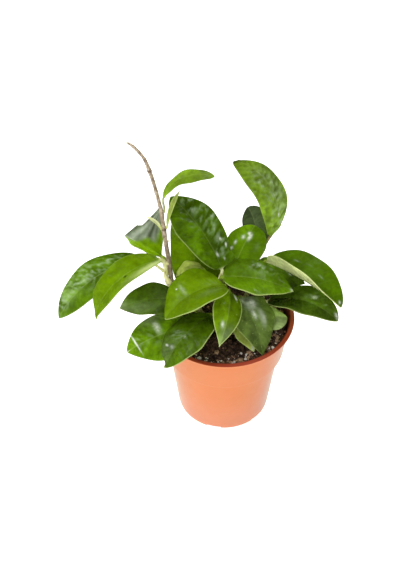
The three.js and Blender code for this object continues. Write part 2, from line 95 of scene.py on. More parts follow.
# Stems and leaves
STEM_FOOT_Z = 62
STEM_SIDES = 20
STEM_STEPS = 10
RING_HEIGHT = 0.25
RING_REACH = 0.9
LOW_BARK_Z = 160
HIGH_BARK_Z = 178
BUD_SIDES = 12
BUD_RINGS = 14
PETIOLE_RADIUS = 1.5
LEAFLET_PETIOLE_RADIUS = 0.9
PETIOLE_RINGS = 16
PETIOLE_START = 0.6
FAR_FROM_EDGE = 5
MIDRIB_THICKNESS = 1.7
EDGE_THICKNESS = 0.8
TIP_HALF_WIDTH = 0.35
PUCKER_HEIGHT = 0.8
BLADE_RINGS = 104
BLADE_POINTS = 37
VEIN_SPACING = 8
VEIN_FORWARD = 0.5
SWELLING_WIDTH = 3.8
SWELLING_LENGTH = 5.2
WAVE_HEIGHT = 0.8
WAVES = 2.3
WAVE_SHIFT = 2.4
LIGHT_THROUGH = 0.12

# Points on the stems where leaves grow
NODES = {
    "vine_fork": (-44.5, 8, 134),
    "vine_lower": (-45.9, 10.5, 143),
    "vine_middle": (-47, 13, 152),
    "vine_sprig": (-51.5, 25, 180.5),
    "vine_upper": (-53, 30, 193.5),
    "crown": (-3.7, 3.5, 142),
    "crown_middle": (-3.1, 3.3, 136),
    "crown_lower": (-2.4, 3, 130),
    "crown_foot": (-1.6, 2.7, 121),
    "right_crown": (27, 19, 140),
    "right_middle": (24, 16.5, 130),
    "right_lower": (21, 14, 121),
    "front_crown": (8.5, -1, 119),
    "front_lower": (8, -4, 108),
    "left_crown": (-21, -8, 116),
    "left_lower": (-16, -6, 107),
}

# Stems: points from the potting mix to the bud, each with the stem's radius there
STEMS = {
    "stem_vine": [
        (-7, 14, STEM_FOOT_Z, 1.9),
        (-7, 14, 101, 1.9),
        (-14, 12, 110, 1.9),
        (-29, 8, 122, 1.9),
        (*NODES["vine_fork"], 2.3),
        (*NODES["vine_lower"], 1.8),
        (*NODES["vine_middle"], 2.1),
        (-49.5, 19, 168, 1.7),
        (*NODES["vine_sprig"], 2.2),
        (-52.4, 28, 188, 1.6),
        (*NODES["vine_upper"], 1.9),
        (-55.5, 34, 204.5, 1.5),
        (-59.5, 40, 218.5, 1.5),
        (-62.5, 43, 227.5, 1.8),
        (-66.5, 46, 237.5, 1.3),
        (-75, 49, 247.5, 1.2),
        (-80, 50, 251, 0.8),
    ],
    "stem_centre": [
        (0, 2, STEM_FOOT_Z, 2.1),
        (0, 2, 101, 2.1),
        (*NODES["crown_foot"], 2.2),
        (*NODES["crown_lower"], 2.3),
        (*NODES["crown_middle"], 2.2),
        (*NODES["crown"], 2.3),
        (-3.8, 3.5, 144.5, 1.2),
    ],
    "stem_right": [
        (14, 10, STEM_FOOT_Z, 2.1),
        (14, 10, 101, 2.1),
        (*NODES["right_lower"], 2.3),
        (*NODES["right_middle"], 2.2),
        (*NODES["right_crown"], 2.3),
        (28, 20, 144, 1.2),
    ],
    "stem_front": [
        (8, -6, STEM_FOOT_Z, 2),
        (8, -6, 101, 2),
        (*NODES["front_lower"], 2.2),
        (*NODES["front_crown"], 2.2),
        (8.8, -0.6, 122, 1.2),
    ],
    "stem_left": [
        (-13, -4, STEM_FOOT_Z, 2),
        (-13, -4, 101, 2),
        (*NODES["left_lower"], 2.2),
        (*NODES["left_crown"], 2.2),
        (-23, -8, 121, 1),
    ],
}

# Heights at which the vine's bark has a ring, and those of the nodes where it is dark as well
VINE_RINGS = (134, 143, 152, 168, 180.5, 193.5, 204.5, 210.5, 218.5, 227.5, 237.5, 243, 247.5)
VINE_NODES = (180.5, 227.5)

# Buds and scales on the vine: the radius and the four corners of the curve that each grows along
BUDS = {
    "bud_tip": (0.7, [(-79, 49.8, 250.3), (-80.5, 50, 251), (-81.5, 50, 250.5), (-82, 50, 249)]),
    "bud_side": (0.7, [(-48, 22, 169.5), (-47.6, 21.8, 169.8), (-47, 21.7, 170.4), (-46.7, 21.5, 171.2)]),
    "bud_low": (1.5, [(-47.5, 12.5, 152), (-50, 11, 155), (-53, 12, 157.5), (-57, 13, 160)]),
    "bud_fork": (2.4, [(-44.5, 7, 133), (-48, 5, 138), (-50, 6, 144), (-53, 9, 152)]),
}


def leaf(node, base, tip, width, droop, fold, cup, belly, roll=0, sweep=0, blunt=1, lean=0, slim=False):
    """The form of one leaf. node is the point on a stem where the petiole grows, base and tip are the
    two ends of the blade and width its widest part. droop bends the blade down along its length, roll
    turns it about the line from base to tip and sweep bends it sideways. fold raises its left and right
    halves, and cup curls each half down to its edge. belly is the place of the widest part from 0 at
    the base to 1 at the tip, blunt makes the tip blunter below 1 and sharper above, and lean makes the
    right half wider than the left."""
    return dict(
        node=node, base=np.array(base, float), tip=np.array(tip, float), width=width, droop=droop,
        roll=roll, sweep=sweep, fold=fold, cup=cup, belly=belly, blunt=blunt, lean=lean, slim=slim,
    )


LEAVES = {
    "leaf_a": leaf(
        "vine_upper", (-51.4, 32, 207.5), (-9.4, 39.3, 224.7), width=15.2, droop=98, sweep=31,
        fold=(18, 21), cup=25, belly=0.52, blunt=0.66, lean=0.04,
    ),
    "leaf_b": leaf(
        "crown", (-3, 7, 151), (-46.4, 57.2, 188.4), width=39, roll=-11, droop=50, sweep=-15,
        fold=(22, 22), cup=20, belly=0.55, blunt=0.84, lean=-0.05,
    ),
    "leaf_c": leaf(
        "left_crown", (-23.9, 15.6, 112.8), (-36.1, 71.5, 159.3), width=43.4, roll=18, droop=35,
        fold=(18, 18), cup=25, belly=0.34, blunt=0.42, lean=-0.03,
    ),
    "leaf_d": leaf(
        "right_crown", (39.4, 45.9, 154.3), (7.2, 90.7, 199.7), width=37, roll=27, droop=138, sweep=-21,
        fold=(6, 10), cup=27, belly=0.46, blunt=0.79, lean=-0.04,
    ),
    "leaf_e": leaf(
        "right_middle", (29.3, 42.1, 143.0), (21.5, 90.9, 148.6), width=26.5, roll=-18, droop=30,
        sweep=-26, fold=(15, 15), cup=27, belly=0.47, blunt=0.55, lean=0.11,
    ),
    "leaf_f": leaf(
        "crown_middle", (6.5, 16.5, 140.5), (26.2, 58.5, 154.9), width=34.6, roll=8, droop=57, sweep=-1,
        fold=(19, 21), cup=22, belly=0.5, blunt=0.62, lean=0.1,
    ),
    "leaf_g": leaf(
        "crown", (-3, 1, 148), (57, -6, 138), width=46, roll=-4, droop=30, sweep=12, fold=(22, 22), cup=23,
        belly=0.42,
    ),
    "leaf_h": leaf(
        "right_crown", (35.1, 23.3, 145.6), (96.7, -16.8, 129.8), width=50, roll=-2, droop=35, sweep=-3,
        fold=(20, 70), cup=0, belly=0.48, blunt=0.61,
    ),
    "leaf_i": leaf(
        "right_lower", (36.6, 3.1, 117.4), (93.6, -26.7, 123.6), width=42.4, roll=-12, droop=59, sweep=23,
        fold=(19, 15), cup=20, belly=0.41, blunt=0.76, lean=-0.06,
    ),
    "leaf_j": leaf(
        "right_lower", (29.7, 35.7, 134.6), (69.9, 25.5, 116.8), width=38, roll=-17, droop=34, sweep=1,
        fold=(9, 7), cup=28, belly=0.41, blunt=0.87, lean=0.06,
    ),
    "leaf_k": leaf(
        "vine_lower", (-67, 29.3, 139), (-142, -5.3, 105.3), width=37.5, roll=-3, droop=76, sweep=-22,
        fold=(18, 17), cup=24, belly=0.51, blunt=0.8, lean=0.05,
    ),
    "leaf_l": leaf(
        "vine_fork", (-54.1, 10.6, 158.2), (-108.8, -16.1, 115.1), width=29.5, roll=-7, droop=108,
        fold=(39, 28), cup=18, belly=0.46, blunt=0.88, lean=0.02,
    ),
    "leaf_m": leaf(
        "vine_middle", (-54.1, 26.6, 148), (-86.3, 51.6, 150), width=54.6, roll=58, droop=-9, sweep=1,
        fold=(-28, 123), cup=-14, belly=0.46, blunt=0.93, lean=0.31,
    ),
    "leaf_n": leaf(
        "left_crown", (-36.8, -2.9, 123.1), (-89, -10.1, 122), width=38.4, droop=43, sweep=-15,
        fold=(17, 18), cup=25, belly=0.47, blunt=0.87, lean=0.02,
    ),
    "leaf_o": leaf(
        "crown_lower", (-1.1, -4.3, 143.4), (-50.2, -30.1, 129.4), width=52, roll=6, droop=77,
        fold=(26, 18), cup=17, belly=0.38, blunt=0.88, lean=0.01,
    ),
    "leaf_p": leaf(
        "crown_lower", (-18.8, 21.6, 137.8), (-41.4, 13.9, 136.3), width=14, roll=10, droop=120,
        fold=(20, 20), cup=20, belly=0.5,
    ),
    "leaf_q": leaf(
        "left_lower", (-25.1, -17.7, 110.6), (-82.2, -45, 105.6), width=46.3, roll=-11, droop=23,
        sweep=-11, fold=(10, 9), cup=30, belly=0.51, blunt=0.83, lean=-0.03,
    ),
    "leaf_r": leaf(
        "left_crown", (-11.3, -21.3, 125.2), (-50.5, -62.8, 105.5), width=43.2, roll=17, droop=51,
        sweep=-3, fold=(11, 17), cup=24, belly=0.47, blunt=0.76, lean=-0.05,
    ),
    "leaf_s": leaf(
        "crown_foot", (3.2, -9.4, 140.9), (-5.6, -53.2, 120.9), width=25.2, roll=-16, droop=48, sweep=15,
        fold=(14, 15), cup=27, belly=0.37, blunt=1.19, lean=0.08,
    ),
    "leaf_t": leaf(
        "front_crown", (12.9, 1.4, 124.0), (31.1, -43.7, 99.6), width=43.6, roll=-20, droop=56, sweep=-15,
        fold=(22, 20), cup=22, belly=0.39, blunt=1.14, lean=-0.02,
    ),
    "leaf_u": leaf(
        "front_lower", (18.9, -3.7, 108.2), (53.4, -3.2, 104.3), width=34, roll=-4, droop=13, sweep=-21,
        fold=(11, 13), cup=29, belly=0.48, blunt=0.59, lean=0.02,
    ),
    "leaf_v": leaf(
        "front_lower", (7, -9.5, 110), (24, -39.6, 100.1), width=19.1, roll=-10, droop=33, fold=(12, 12),
        cup=30, belly=0.44, blunt=0.92, lean=-0.02,
    ),
    "leaflet_left": leaf(
        "vine_sprig", (-54, 23, 184), (-66, 30, 190), width=4, droop=35, fold=(35, 35), cup=5, belly=0.4,
        slim=True,
    ),
    "leaflet_right": leaf(
        "vine_sprig", (-48.5, 25, 184), (-38, 45, 205), width=4.8, roll=10, droop=10, sweep=25,
        fold=(40, 40), cup=5, belly=0.6, slim=True,
    ),
}


def look(tone, halves=(1, 1), ends=(1, 1), edges=(0.1, 0.1), rib=0.06, patchy=1, pucker=0.2, dents=(),
         split=0, dust=0.3, under="lime", sheen="haze", stalk="green", stalk_size=1, **marks):
    """The looks of one leaf. halves lightens or darkens its left and right half, and ends its base and
    tip, as painted light and shade. edges is how pale the left and right margins are and rib how pale the
    midrib is. patchy is the strength of the lighter and darker clouds and pucker the height of the
    swellings between the veins, which are also painted lighter on top and darker in the hollows. dents
    are nicks in a margin, or bulges where the depth is below 0: side, place, depth and length. split is
    the depth of a cut in the tip and dust how much the pale specks show. under is the tone of the lower
    face and sheen that of the painted sheen. stalk is the petiole's colour and stalk_size its thickness.

    marks are patches on the upper face, listed by kind. gloss is painted gloss in blotches, shine painted
    highlights and a pale scratch, veil a smooth painted sheen and pale the leaf's own paler colour, and
    these lie over its colour. light and dark change it as painted light and shade, and dark also marks a
    few of the leaf's own dark spots. fan paints streaks of sheen with painted shade between them. Each has
    its place along the blade from 0 to 1 and across it from -1 to 1, its reach along and across in
    millimetres, and its strength."""
    return dict(
        tone=tone, halves=halves, ends=ends, edges=edges, rib=rib, patchy=patchy, pucker=pucker,
        dents=dents, split=split, dust=dust, under=under, sheen=sheen, stalk=stalk, stalk_size=stalk_size,
        marks=marks,
    )


# In these looks the halves, ends, swellings and light and dark patches paint light and shade, and the
# gloss, shine, veil and fan patches paint gloss, highlights and sheen. A few dark patches are the leaves'
# own spots, and one thin shine on leaf_q is a pale scratch.
LOOKS = {
    "leaf_a": look(
        "spring", ends=(1, 0.82), pucker=0.15, stalk="grey", stalk_size=0.6,
        light=[(0.05, 0, 8, 8, 0.3)],
    ),
    "leaf_b": look(
        "deep", halves=(0.98, 0.95), ends=(1, 0.78), edges=(0.4, 0.1), rib=0.05, pucker=0.8,
        dents=[(1, 0.05, -0.7, 0.07)], stalk="cream", stalk_size=0.9,
        gloss=[
            (0.8, 0.7, 7, 5, 0.6), (0.7, 0.37, 5, 4, 0.5), (0.65, 0.7, 5, 4, 0.5),
            (0.54, 0.75, 6, 4, 0.5), (0.55, 0.3, 4, 4, 0.5), (0.43, 0.25, 4, 3, 0.45),
            (0.44, 0.6, 6, 4, 0.5), (0.3, 0.6, 6, 4, 0.5), (0.2, 0.4, 6, 4, 0.5),
        ],
        shine=[
            (0.3, 0.6, 1.5, 0.9, 0.7), (0.22, 0.8, 1.8, 0.8, 0.8), (0.17, 0.12, 2.5, 0.8, 0.7),
            (0.1, 0.4, 1.5, 0.8, 0.6),
        ],
        light=[(0.38, -0.65, 8, 6, 0.5), (0.88, -0.2, 6, 5, 0.3), (0.5, -0.2, 9, 4, 0.2)],
        dark=[(0.78, 0.1, 14, 8, 0.35), (0.5, 0.3, 10, 5, 0.25), (0.25, 0.6, 8, 6, 0.3)],
    ),
    "leaf_c": look(
        "bright", halves=(1.2, 0.55), ends=(0.95, 0.75), patchy=0.6, pucker=0.3,
        dents=[(1, 0.25, -0.4, 0.2)],
    ),
    "leaf_d": look(
        "spring", ends=(1.4, 0.65), edges=(0.2, 0.3), rib=0.08, pucker=0.9, stalk="tan", stalk_size=0.8,
        gloss=[
            (0.4, 0, 24, 12, 0.6), (0.57, -0.35, 5, 4, 0.7), (0.5, 0.3, 5, 4, 0.8),
            (0.42, 0.25, 4, 3, 0.7), (0.38, -0.1, 3, 3, 0.6), (0.2, 0.3, 5, 4, 0.8),
            (0.22, -0.6, 4, 3, 0.7), (0.12, 0.1, 6, 6, 0.8),
        ],
        shine=[(0.24, 0.05, 1.8, 1.2, 0.9), (0.15, 0.45, 2.8, 1.8, 0.7)],
        veil=[(0.45, 0.3, 22, 9, 0.3)],
        dark=[(0.97, 0, 4, 8, 0.5)],
    ),
    "leaf_e": look(
        "dark", halves=(0.45, 0.75), sheen="silver",
        veil=[(0.7, 0, 30, 14, 0.22)],
    ),
    "leaf_f": look(
        "mid", halves=(1.3, 0.9), ends=(0.95, 1.15), edges=(0.2, 0.2), rib=0.1, patchy=0.6, pucker=0.3,
        dents=[(-1, 0.08, -0.8, 0.12)],
        shine=[
            (0.67, 0.1, 4.4, 1.8, 0.95), (0.74, -0.02, 2, 1.8, 1), (0.62, -0.25, 2.6, 1.8, 0.7),
            (0.47, -0.5, 2.4, 1.3, 0.75), (0.35, -0.58, 1.8, 1.3, 0.8),
        ],
        veil=[(0.52, 0.6, 4, 2, 0.3)],
    ),
    "leaf_g": look(
        "mid", halves=(0.8, 1.12), ends=(0.85, 1.05), edges=(0.2, 0.7), rib=0.12, patchy=0.6, pucker=0.35,
        dents=[(-1, 0.06, -0.6, 0.1)],
        gloss=[(0.52, -0.6, 9, 4, 0.8), (0.68, -0.7, 6, 3, 0.8)],
        shine=[(0.8, -0.4, 4, 0.8, 0.25), (0.97, 0, 2, 2, 0.6)],
    ),
    "leaf_h": look(
        "deep", halves=(0.95, 1), ends=(0.95, 1.1), edges=(0.2, 0.3), rib=0.08, patchy=0.6, pucker=0.25,
        under="cream", stalk_size=0.9,
        shine=[
            (0.3, -0.5, 3, 0.7, 0.3), (0.45, -0.55, 3.5, 0.7, 0.3), (0.62, -0.45, 3, 0.7, 0.3),
            (0.95, -0.3, 1.5, 1.5, 0.6),
        ],
    ),
    "leaf_i": look(
        "dark", halves=(1.1, 0.75), ends=(0.65, 1.45), edges=(0.2, 0.5), stalk="cream",
        gloss=[(0.6, -0.35, 6, 5, 0.8), (0.77, -0.42, 4, 3, 0.5)],
        shine=[(0.58, -0.38, 3, 2, 0.4), (0.94, -0.47, 3, 2, 0.6)],
    ),
    "leaf_j": look(
        "dark", ends=(2.8, 0.6), dents=[(1, 0.72, -0.35, 0.18)],
        shine=[(0.54, 0.08, 2.5, 2, 0.5), (0.63, 0.24, 2, 1.5, 0.4)],
    ),
    "leaf_k": look(
        "deep", halves=(1.05, 1.1), ends=(0.85, 1.1), edges=(0.3, 0.1), rib=0.1, pucker=0.55,
        stalk="cream", stalk_size=0.8,
        gloss=[
            (0.3, 0.45, 12, 8, 0.65), (0.5, 0.3, 16, 8, 0.7), (0.65, 0.5, 16, 9, 0.75),
            (0.85, 0.5, 12, 8, 0.55),
        ],
        veil=[(0.78, 0.4, 12, 7, 0.25)],
        light=[(0.6, 0.4, 32, 9, 0.5)],
    ),
    "leaf_l": look(
        "bright", halves=(0.85, 0.85), edges=(0.3, 0.2), rib=0.08, patchy=0.6, pucker=0.3,
        dents=[(-1, 0.92, 0.2, 0.06), (1, 0.92, 0.3, 0.07)], under="straw", stalk="cream", stalk_size=1.3,
        pale=[(0.12, -0.75, 18, 4, 1)],
        light=[(0.46, 0.25, 6, 2, 0.6)],
        dark=[(0.4, -0.2, 1.4, 1.3, 1)],
    ),
    "leaf_m": look(
        "bright", halves=(1.8, 0.92), ends=(0.95, 1.25),
        dents=[(1, 0.6, -0.1, 0.08), (1, 0.8, 0.22, 0.06), (1, 0.95, -0.6, 0.045), (-1, 0.85, 0.2, 0.1)],
        sheen="silver",
        fan=[(0.5, 1, 30, 30, 1)],
    ),
    "leaf_n": look(
        "dark", halves=(1, 1.2), ends=(0.95, 1.3),
        veil=[(0.72, -0.5, 17, 6, 0.35), (0.95, 0, 5, 7, 0.6), (0.3, 0, 8, 12, 0.1)],
    ),
    "leaf_o": look(
        "bright", halves=(0.72, 0.9), edges=(0.7, 0.2), rib=0.05, patchy=0.4, pucker=0.25,
        shine=[(0.56, 0.35, 2, 8, 0.3), (0.62, 0.58, 0.8, 0.8, 0.9)],
        veil=[(0.3, -0.45, 9, 4, 0.3)],
    ),
    "leaf_p": look("lime", ends=(0.5, 1.05), edges=(0.3, 0.3), pucker=0.1),
    "leaf_q": look(
        "mid", halves=(1.05, 1.05), ends=(1, 1.1), edges=(0.4, 0.2), rib=0.12, pucker=0.6, split=0.06,
        gloss=[(0.79, 0.2, 4, 5, 0.6), (0.62, 0, 6, 7, 0.4)],
        # The first shine is a painted highlight and the second a pale scratch
        shine=[(0.5, 0.35, 3, 7, 0.6), (0.84, 0.3, 0.7, 11, 1)],
        veil=[(0.5, 0.85, 8, 5, 0.9)],
        light=[(0.93, 0.3, 5, 7, 0.4)],
    ),
    "leaf_r": look(
        "mid", halves=(0.62, 0.72), ends=(0.65, 1), edges=(0.6, 0.3), rib=0.05, pucker=0.4,
        dents=[(1, 0.95, 0.75, 0.055)],
        gloss=[(0.53, 0.35, 4, 5, 0.7), (0.5, -0.05, 4, 5, 0.6)],
        shine=[(0.71, 0.2, 2.4, 3, 0.35), (0.72, 0.55, 1, 1.8, 0.7)],
        veil=[(0.8, 0.55, 9, 7, 0.4)],
        light=[(0.59, -0.68, 3, 2, 0.5)],
    ),
    "leaf_s": look(
        "bright", halves=(0.55, 1.15), edges=(0.9, 0.9), rib=0.12, pucker=0.2, dust=0.8,
        shine=[(0.64, 0.28, 3.5, 1.6, 0.6), (0.12, -0.6, 3, 1, 0.7)],
        veil=[(0.8, -0.35, 8, 6, 0.6), (0.92, 0.2, 6, 4, 0.6)],
    ),
    "leaf_t": look(
        "sage", halves=(1.25, 1.15), ends=(1.15, 0.82), edges=(0.2, 0.3), rib=0.05, pucker=0.5,
        dents=[(-1, 0.06, -0.45, 0.09), (1, 0.06, -0.45, 0.09)], dust=0.9, sheen="silver",
        gloss=[(0.16, -0.15, 6, 6, 0.8)],
        shine=[
            (0.18, -0.3, 5, 3, 0.75), (0.1, 0.1, 4, 2, 0.6), (0.37, -0.14, 5, 2, 0.65),
            (0.46, -0.48, 6, 1.8, 0.4),
        ],
        veil=[(0.5, 0, 35, 22, 0.08), (0.16, -0.15, 8, 7, 0.9), (0.42, -0.42, 9, 3, 0.7)],
    ),
    "leaf_u": look(
        "pale", halves=(2.6, 1.2), rib=0.05, sheen="silver",
        veil=[(0.6, 0, 20, 14, 0.3)],
        light=[(0.85, 0.4, 6, 6, 0.2)],
    ),
    "leaf_v": look(
        "lime", halves=(0.85, 0.85), ends=(1, 1.7), edges=(1, 1), rib=0.9,
        shine=[(0.93, 0, 3, 1.5, 0.8)],
    ),
    "leaflet_left": look("straw", halves=(0.9, 0.9), edges=(0.2, 0.2), pucker=0, stalk="lime"),
    "leaflet_right": look(
        "lime", halves=(1.05, 1.05), edges=(0.5, 0.5), rib=0.3, pucker=0, stalk="lime",
        dark=[(0.97, 0, 2, 3, 0.6)],
    ),
}


# Small helpers
def tint(red, green, blue):
    """A colour given as it looks on screen, from 0 to 255, as the linear values that the shaders take."""
    linear = []
    for value in (red, green, blue):
        share = value / 255
        linear.append(share / 12.92 if share <= 0.04045 else ((share + 0.055) / 1.055) ** 2.4)
    return (*linear, 1.0)


def unit(vector):
    return vector / np.linalg.norm(vector)


def smooth(value):
    value = np.clip(value, 0, 1)
    return value * value * (3 - 2 * value)


def add_object(name, data):
    made = bpy.data.objects.new(name, data)
    bpy.context.scene.collection.objects.link(made)
    return made


def add_mesh(name, points, faces):
    """An object from points in millimetres."""
    mesh = bpy.data.meshes.new(name)
    mesh.from_pydata((np.asarray(points) * MM).tolist(), [], faces)
    return add_object(name, mesh)


def make_object(name, points, faces, material, slot, *nodes):
    """A piece of the part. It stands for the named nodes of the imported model."""
    piece = add_mesh(name, points, faces)
    piece.data.materials.append(material)
    piece.data.shade_smooth()
    piece.data.update()
    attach(piece, "root")
    if nodes:
        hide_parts(*nodes)
    return piece


def store(piece, name, values):
    """Keeps three numbers for each point of the piece, for its material to read."""
    attribute = piece.data.attributes.new(name, "FLOAT_VECTOR", "POINT")
    attribute.data.foreach_set("vector", np.asarray(values, np.float32).ravel())


def ring_faces(rings, count, first=0):
    """Quads between rings of count points each."""
    faces = []
    for i in range(rings - 1):
        for j in range(count):
            a = first + i * count + j
            b = first + i * count + (j + 1) % count
            faces.append((a, b, b + count, a + count))
    return faces


def tube_faces(rings):
    """The faces of a closed tube through the rings, with a face over each end."""
    count = len(rings[0])
    last = (len(rings) - 1) * count
    ends = [tuple(range(count))[::-1], tuple(range(last, last + count))]
    return ring_faces(len(rings), count) + ends


def circle(radius, count):
    """Points evenly spaced on a circle about the Z axis."""
    angles = [2 * math.pi * j / count for j in range(count)]
    return [(radius * math.cos(angle), radius * math.sin(angle)) for angle in angles]


def round_rings(path, headings, radii, sides, side):
    """Rings of points about a path that lie square to its headings and don't twist."""
    angles = 2 * math.pi * np.arange(sides) / sides
    rings = []
    for centre, heading, radius in zip(path, headings, radii):
        along = unit(heading)
        side = unit(side - along * (side @ along))
        other = np.cross(along, side)
        rings.append(centre + radius * (np.outer(np.cos(angles), side) + np.outer(np.sin(angles), other)))
    return np.array(rings)


def bezier(corners, w):
    a, b, c, d = corners
    return a * (1 - w) ** 3 + 3 * b * w * (1 - w) ** 2 + 3 * c * w ** 2 * (1 - w) + d * w ** 3


def bezier_slope(corners, w):
    a, b, c, d = corners
    return 3 * ((b - a) * (1 - w) ** 2 + 2 * (c - b) * w * (1 - w) + (d - c) * w ** 2)


# Leaves
def half_outline(t, belly, blunt):
    """Half the blade's width at t as a share of its widest: blunt at the base and pointed at the tip."""
    low = (1 - (1 - np.clip(t / belly, 0, 1)) ** 2) ** 0.55
    high = (1 - np.clip((t - belly) / (1 - belly), 0, 1) ** 1.8) ** blunt
    return np.where(t < belly, low, high)


def midrib(stations, droop, sweep):
    """Points, across and face directions along a midrib of length 1 that starts at 0 along Y."""
    fine = np.linspace(0, 1, 401)
    down = math.radians(droop) * fine
    aside = math.radians(sweep) * fine
    heading = np.stack([np.sin(aside) * np.cos(down), np.cos(aside) * np.cos(down), -np.sin(down)], 1)
    steps = (heading[1:] + heading[:-1]) / 2 / (len(fine) - 1)
    path = np.concatenate([np.zeros((1, 3)), np.cumsum(steps, 0)])
    position = np.stack([np.interp(stations, fine, path[:, k]) for k in range(3)], 1)
    down = math.radians(droop) * stations
    aside = math.radians(sweep) * stations
    across = np.stack([np.cos(aside), -np.sin(aside), np.zeros_like(aside)], 1)
    face = np.stack([np.sin(down) * np.sin(aside), np.sin(down) * np.cos(aside), np.cos(down)], 1)
    return position, across, face


def directions(along, roll):
    """Columns across, along and face. The face is turned up as far as it can be and then rolled."""
    forward = unit(along)
    face = unit(np.array([0, 0, 1.0]) - forward * forward[2])
    turn = np.array(Matrix.Rotation(math.radians(roll), 3, Vector(forward)))
    face = turn @ face
    return np.stack([np.cross(forward, face), forward, face], 1)


def section(u, t, data):
    """Sideways and upward reach of the blade's cross-section at u, from -1 through the midrib to 1, and
    the sideways and upward parts of its upper face's direction there."""
    left, right = (np.radians(fold) * (1 - 0.4 * t) for fold in data["fold"])
    fold = np.where(u < 0, left, right)
    bend = math.radians(data["cup"] or 0.01)
    slope = fold - bend * np.abs(u)
    out = np.sign(u) * (np.sin(fold) - np.sin(slope)) / bend
    up = (np.cos(slope) - np.cos(fold)) / bend
    face_out = -np.sign(u) * np.sin(slope)
    face_up = np.cos(slope)
    middle = np.abs(u) < 1e-9
    face_out = np.where(middle, np.sin(left) - np.sin(right), face_out)
    face_up = np.where(middle, np.cos(left) + np.cos(right), face_up)
    size = np.hypot(face_out, face_up)
    return out, up, face_out / size, face_up / size


def petiole_start(data):
    """Where a petiole leaves its stem, on the blade's side, and its direction there: halfway from
    square to the stem to straight at the blade."""
    node = np.array(NODES[data["node"]], float)
    for points in STEMS.values():
        places = [tuple(p[:3]) for p in points]
        if NODES[data["node"]] in places:
            i = places.index(NODES[data["node"]])
            along = unit(np.array(places[i + 1], float) - np.array(places[i - 1], float))
            out = data["base"] + 0.3 * (data["tip"] - data["base"]) - node
            out = unit(out - along * (out @ along))
            lead = unit(unit(data["base"] - node) + out)
            return node + out * PETIOLE_START * points[i][3], lead
    raise ValueError("no stem holds " + data["node"])


def crumple(along, across, seed):
    """Swellings and hollows between the veins, from about -1 to 1. They are longer along the side veins,
    which leave the midrib forward."""
    field = np.zeros(along.size)
    across_veins = (along - VEIN_FORWARD * np.abs(across)).ravel() / SWELLING_WIDTH
    along_veins = np.abs(across).ravel() / SWELLING_LENGTH
    layer = np.where(across > 0, seed * 7.3, seed * 7.3 + 40).ravel()
    for i, place in enumerate(zip(across_veins, along_veins, layer)):
        place = Vector(place)
        field[i] = 1.4 * noise.noise(place) + 0.8 * noise.noise(place * 2.1)
    return field.reshape(along.shape)


def fan_streaks(along, across, top):
    """The far part of the right half, and the folds that fan out over it from the right margin's top,
    where a painted sheen lies in streaks with painted shade between them.
    """
    angle = np.arctan2(across - top[1], along - top[0])
    streak = 0.5 + 0.3 * np.sin(angle * 20) + 0.2 * np.sin(angle * 9 + 1)
    area = smooth((across - 0.2 * top[1] + 0.9 * np.clip(along - 20, 0, 20)) / 3)
    return area * smooth((along - 6) / 8), streak


def paint(marks, t, u, along, across, half, length):
    """Painted gloss, painted highlights with a pale scratch, painted sheen and paleness at each point of
    the blade, and its change of lightness by painted light and shade.
    """
    layers = {kind: np.zeros_like(t) for kind in ("gloss", "shine", "veil", "pale")}
    light = np.ones_like(t)
    for kind, listed in marks.items():
        for mark_t, mark_u, reach_t, reach_u, strength in listed:
            far_t = (t - mark_t) * length / reach_t
            far_u = (u - mark_u) * half / reach_u
            patch = strength * np.exp(-(far_t ** 2 + far_u ** 2))
            # The fan paints sheen in streaks and painted shade between them
            if kind == "fan":
                area, streak = fan_streaks(along, across, (mark_t * length, mark_u * half.max()))
                layers["veil"] = np.maximum(layers["veil"], strength * area * (0.6 + 0.4 * streak))
                light *= 1 - 0.7 * area * (1 - streak)
            elif kind in layers:
                layers[kind] = np.maximum(layers[kind], patch)
            else:
                # Light marks are painted light; dark marks are painted shade, and a few are the leaf's own
                # dark spots
                light *= 1 + patch if kind == "light" else 1 - patch
    return *layers.values(), light


def blade_frames(data):
    """Stations along the blade from 0 to 1, the midrib's points and directions there, and its length."""
    stations = np.linspace(0, 1, BLADE_RINGS)
    stations = 0.6 * stations + 0.4 * (1 - np.cos(math.pi * stations)) / 2
    chord = data["tip"] - data["base"]
    local = midrib(np.array([1.0]), data["droop"], data["sweep"])[0][0]
    length = np.linalg.norm(chord) / np.linalg.norm(local)
    turn = directions(chord, data["roll"]) @ directions(local, 0).T
    position, side, face = midrib(stations, data["droop"], data["sweep"])
    return stations, position * length @ turn.T + data["base"], side @ turn.T, face @ turn.T, length


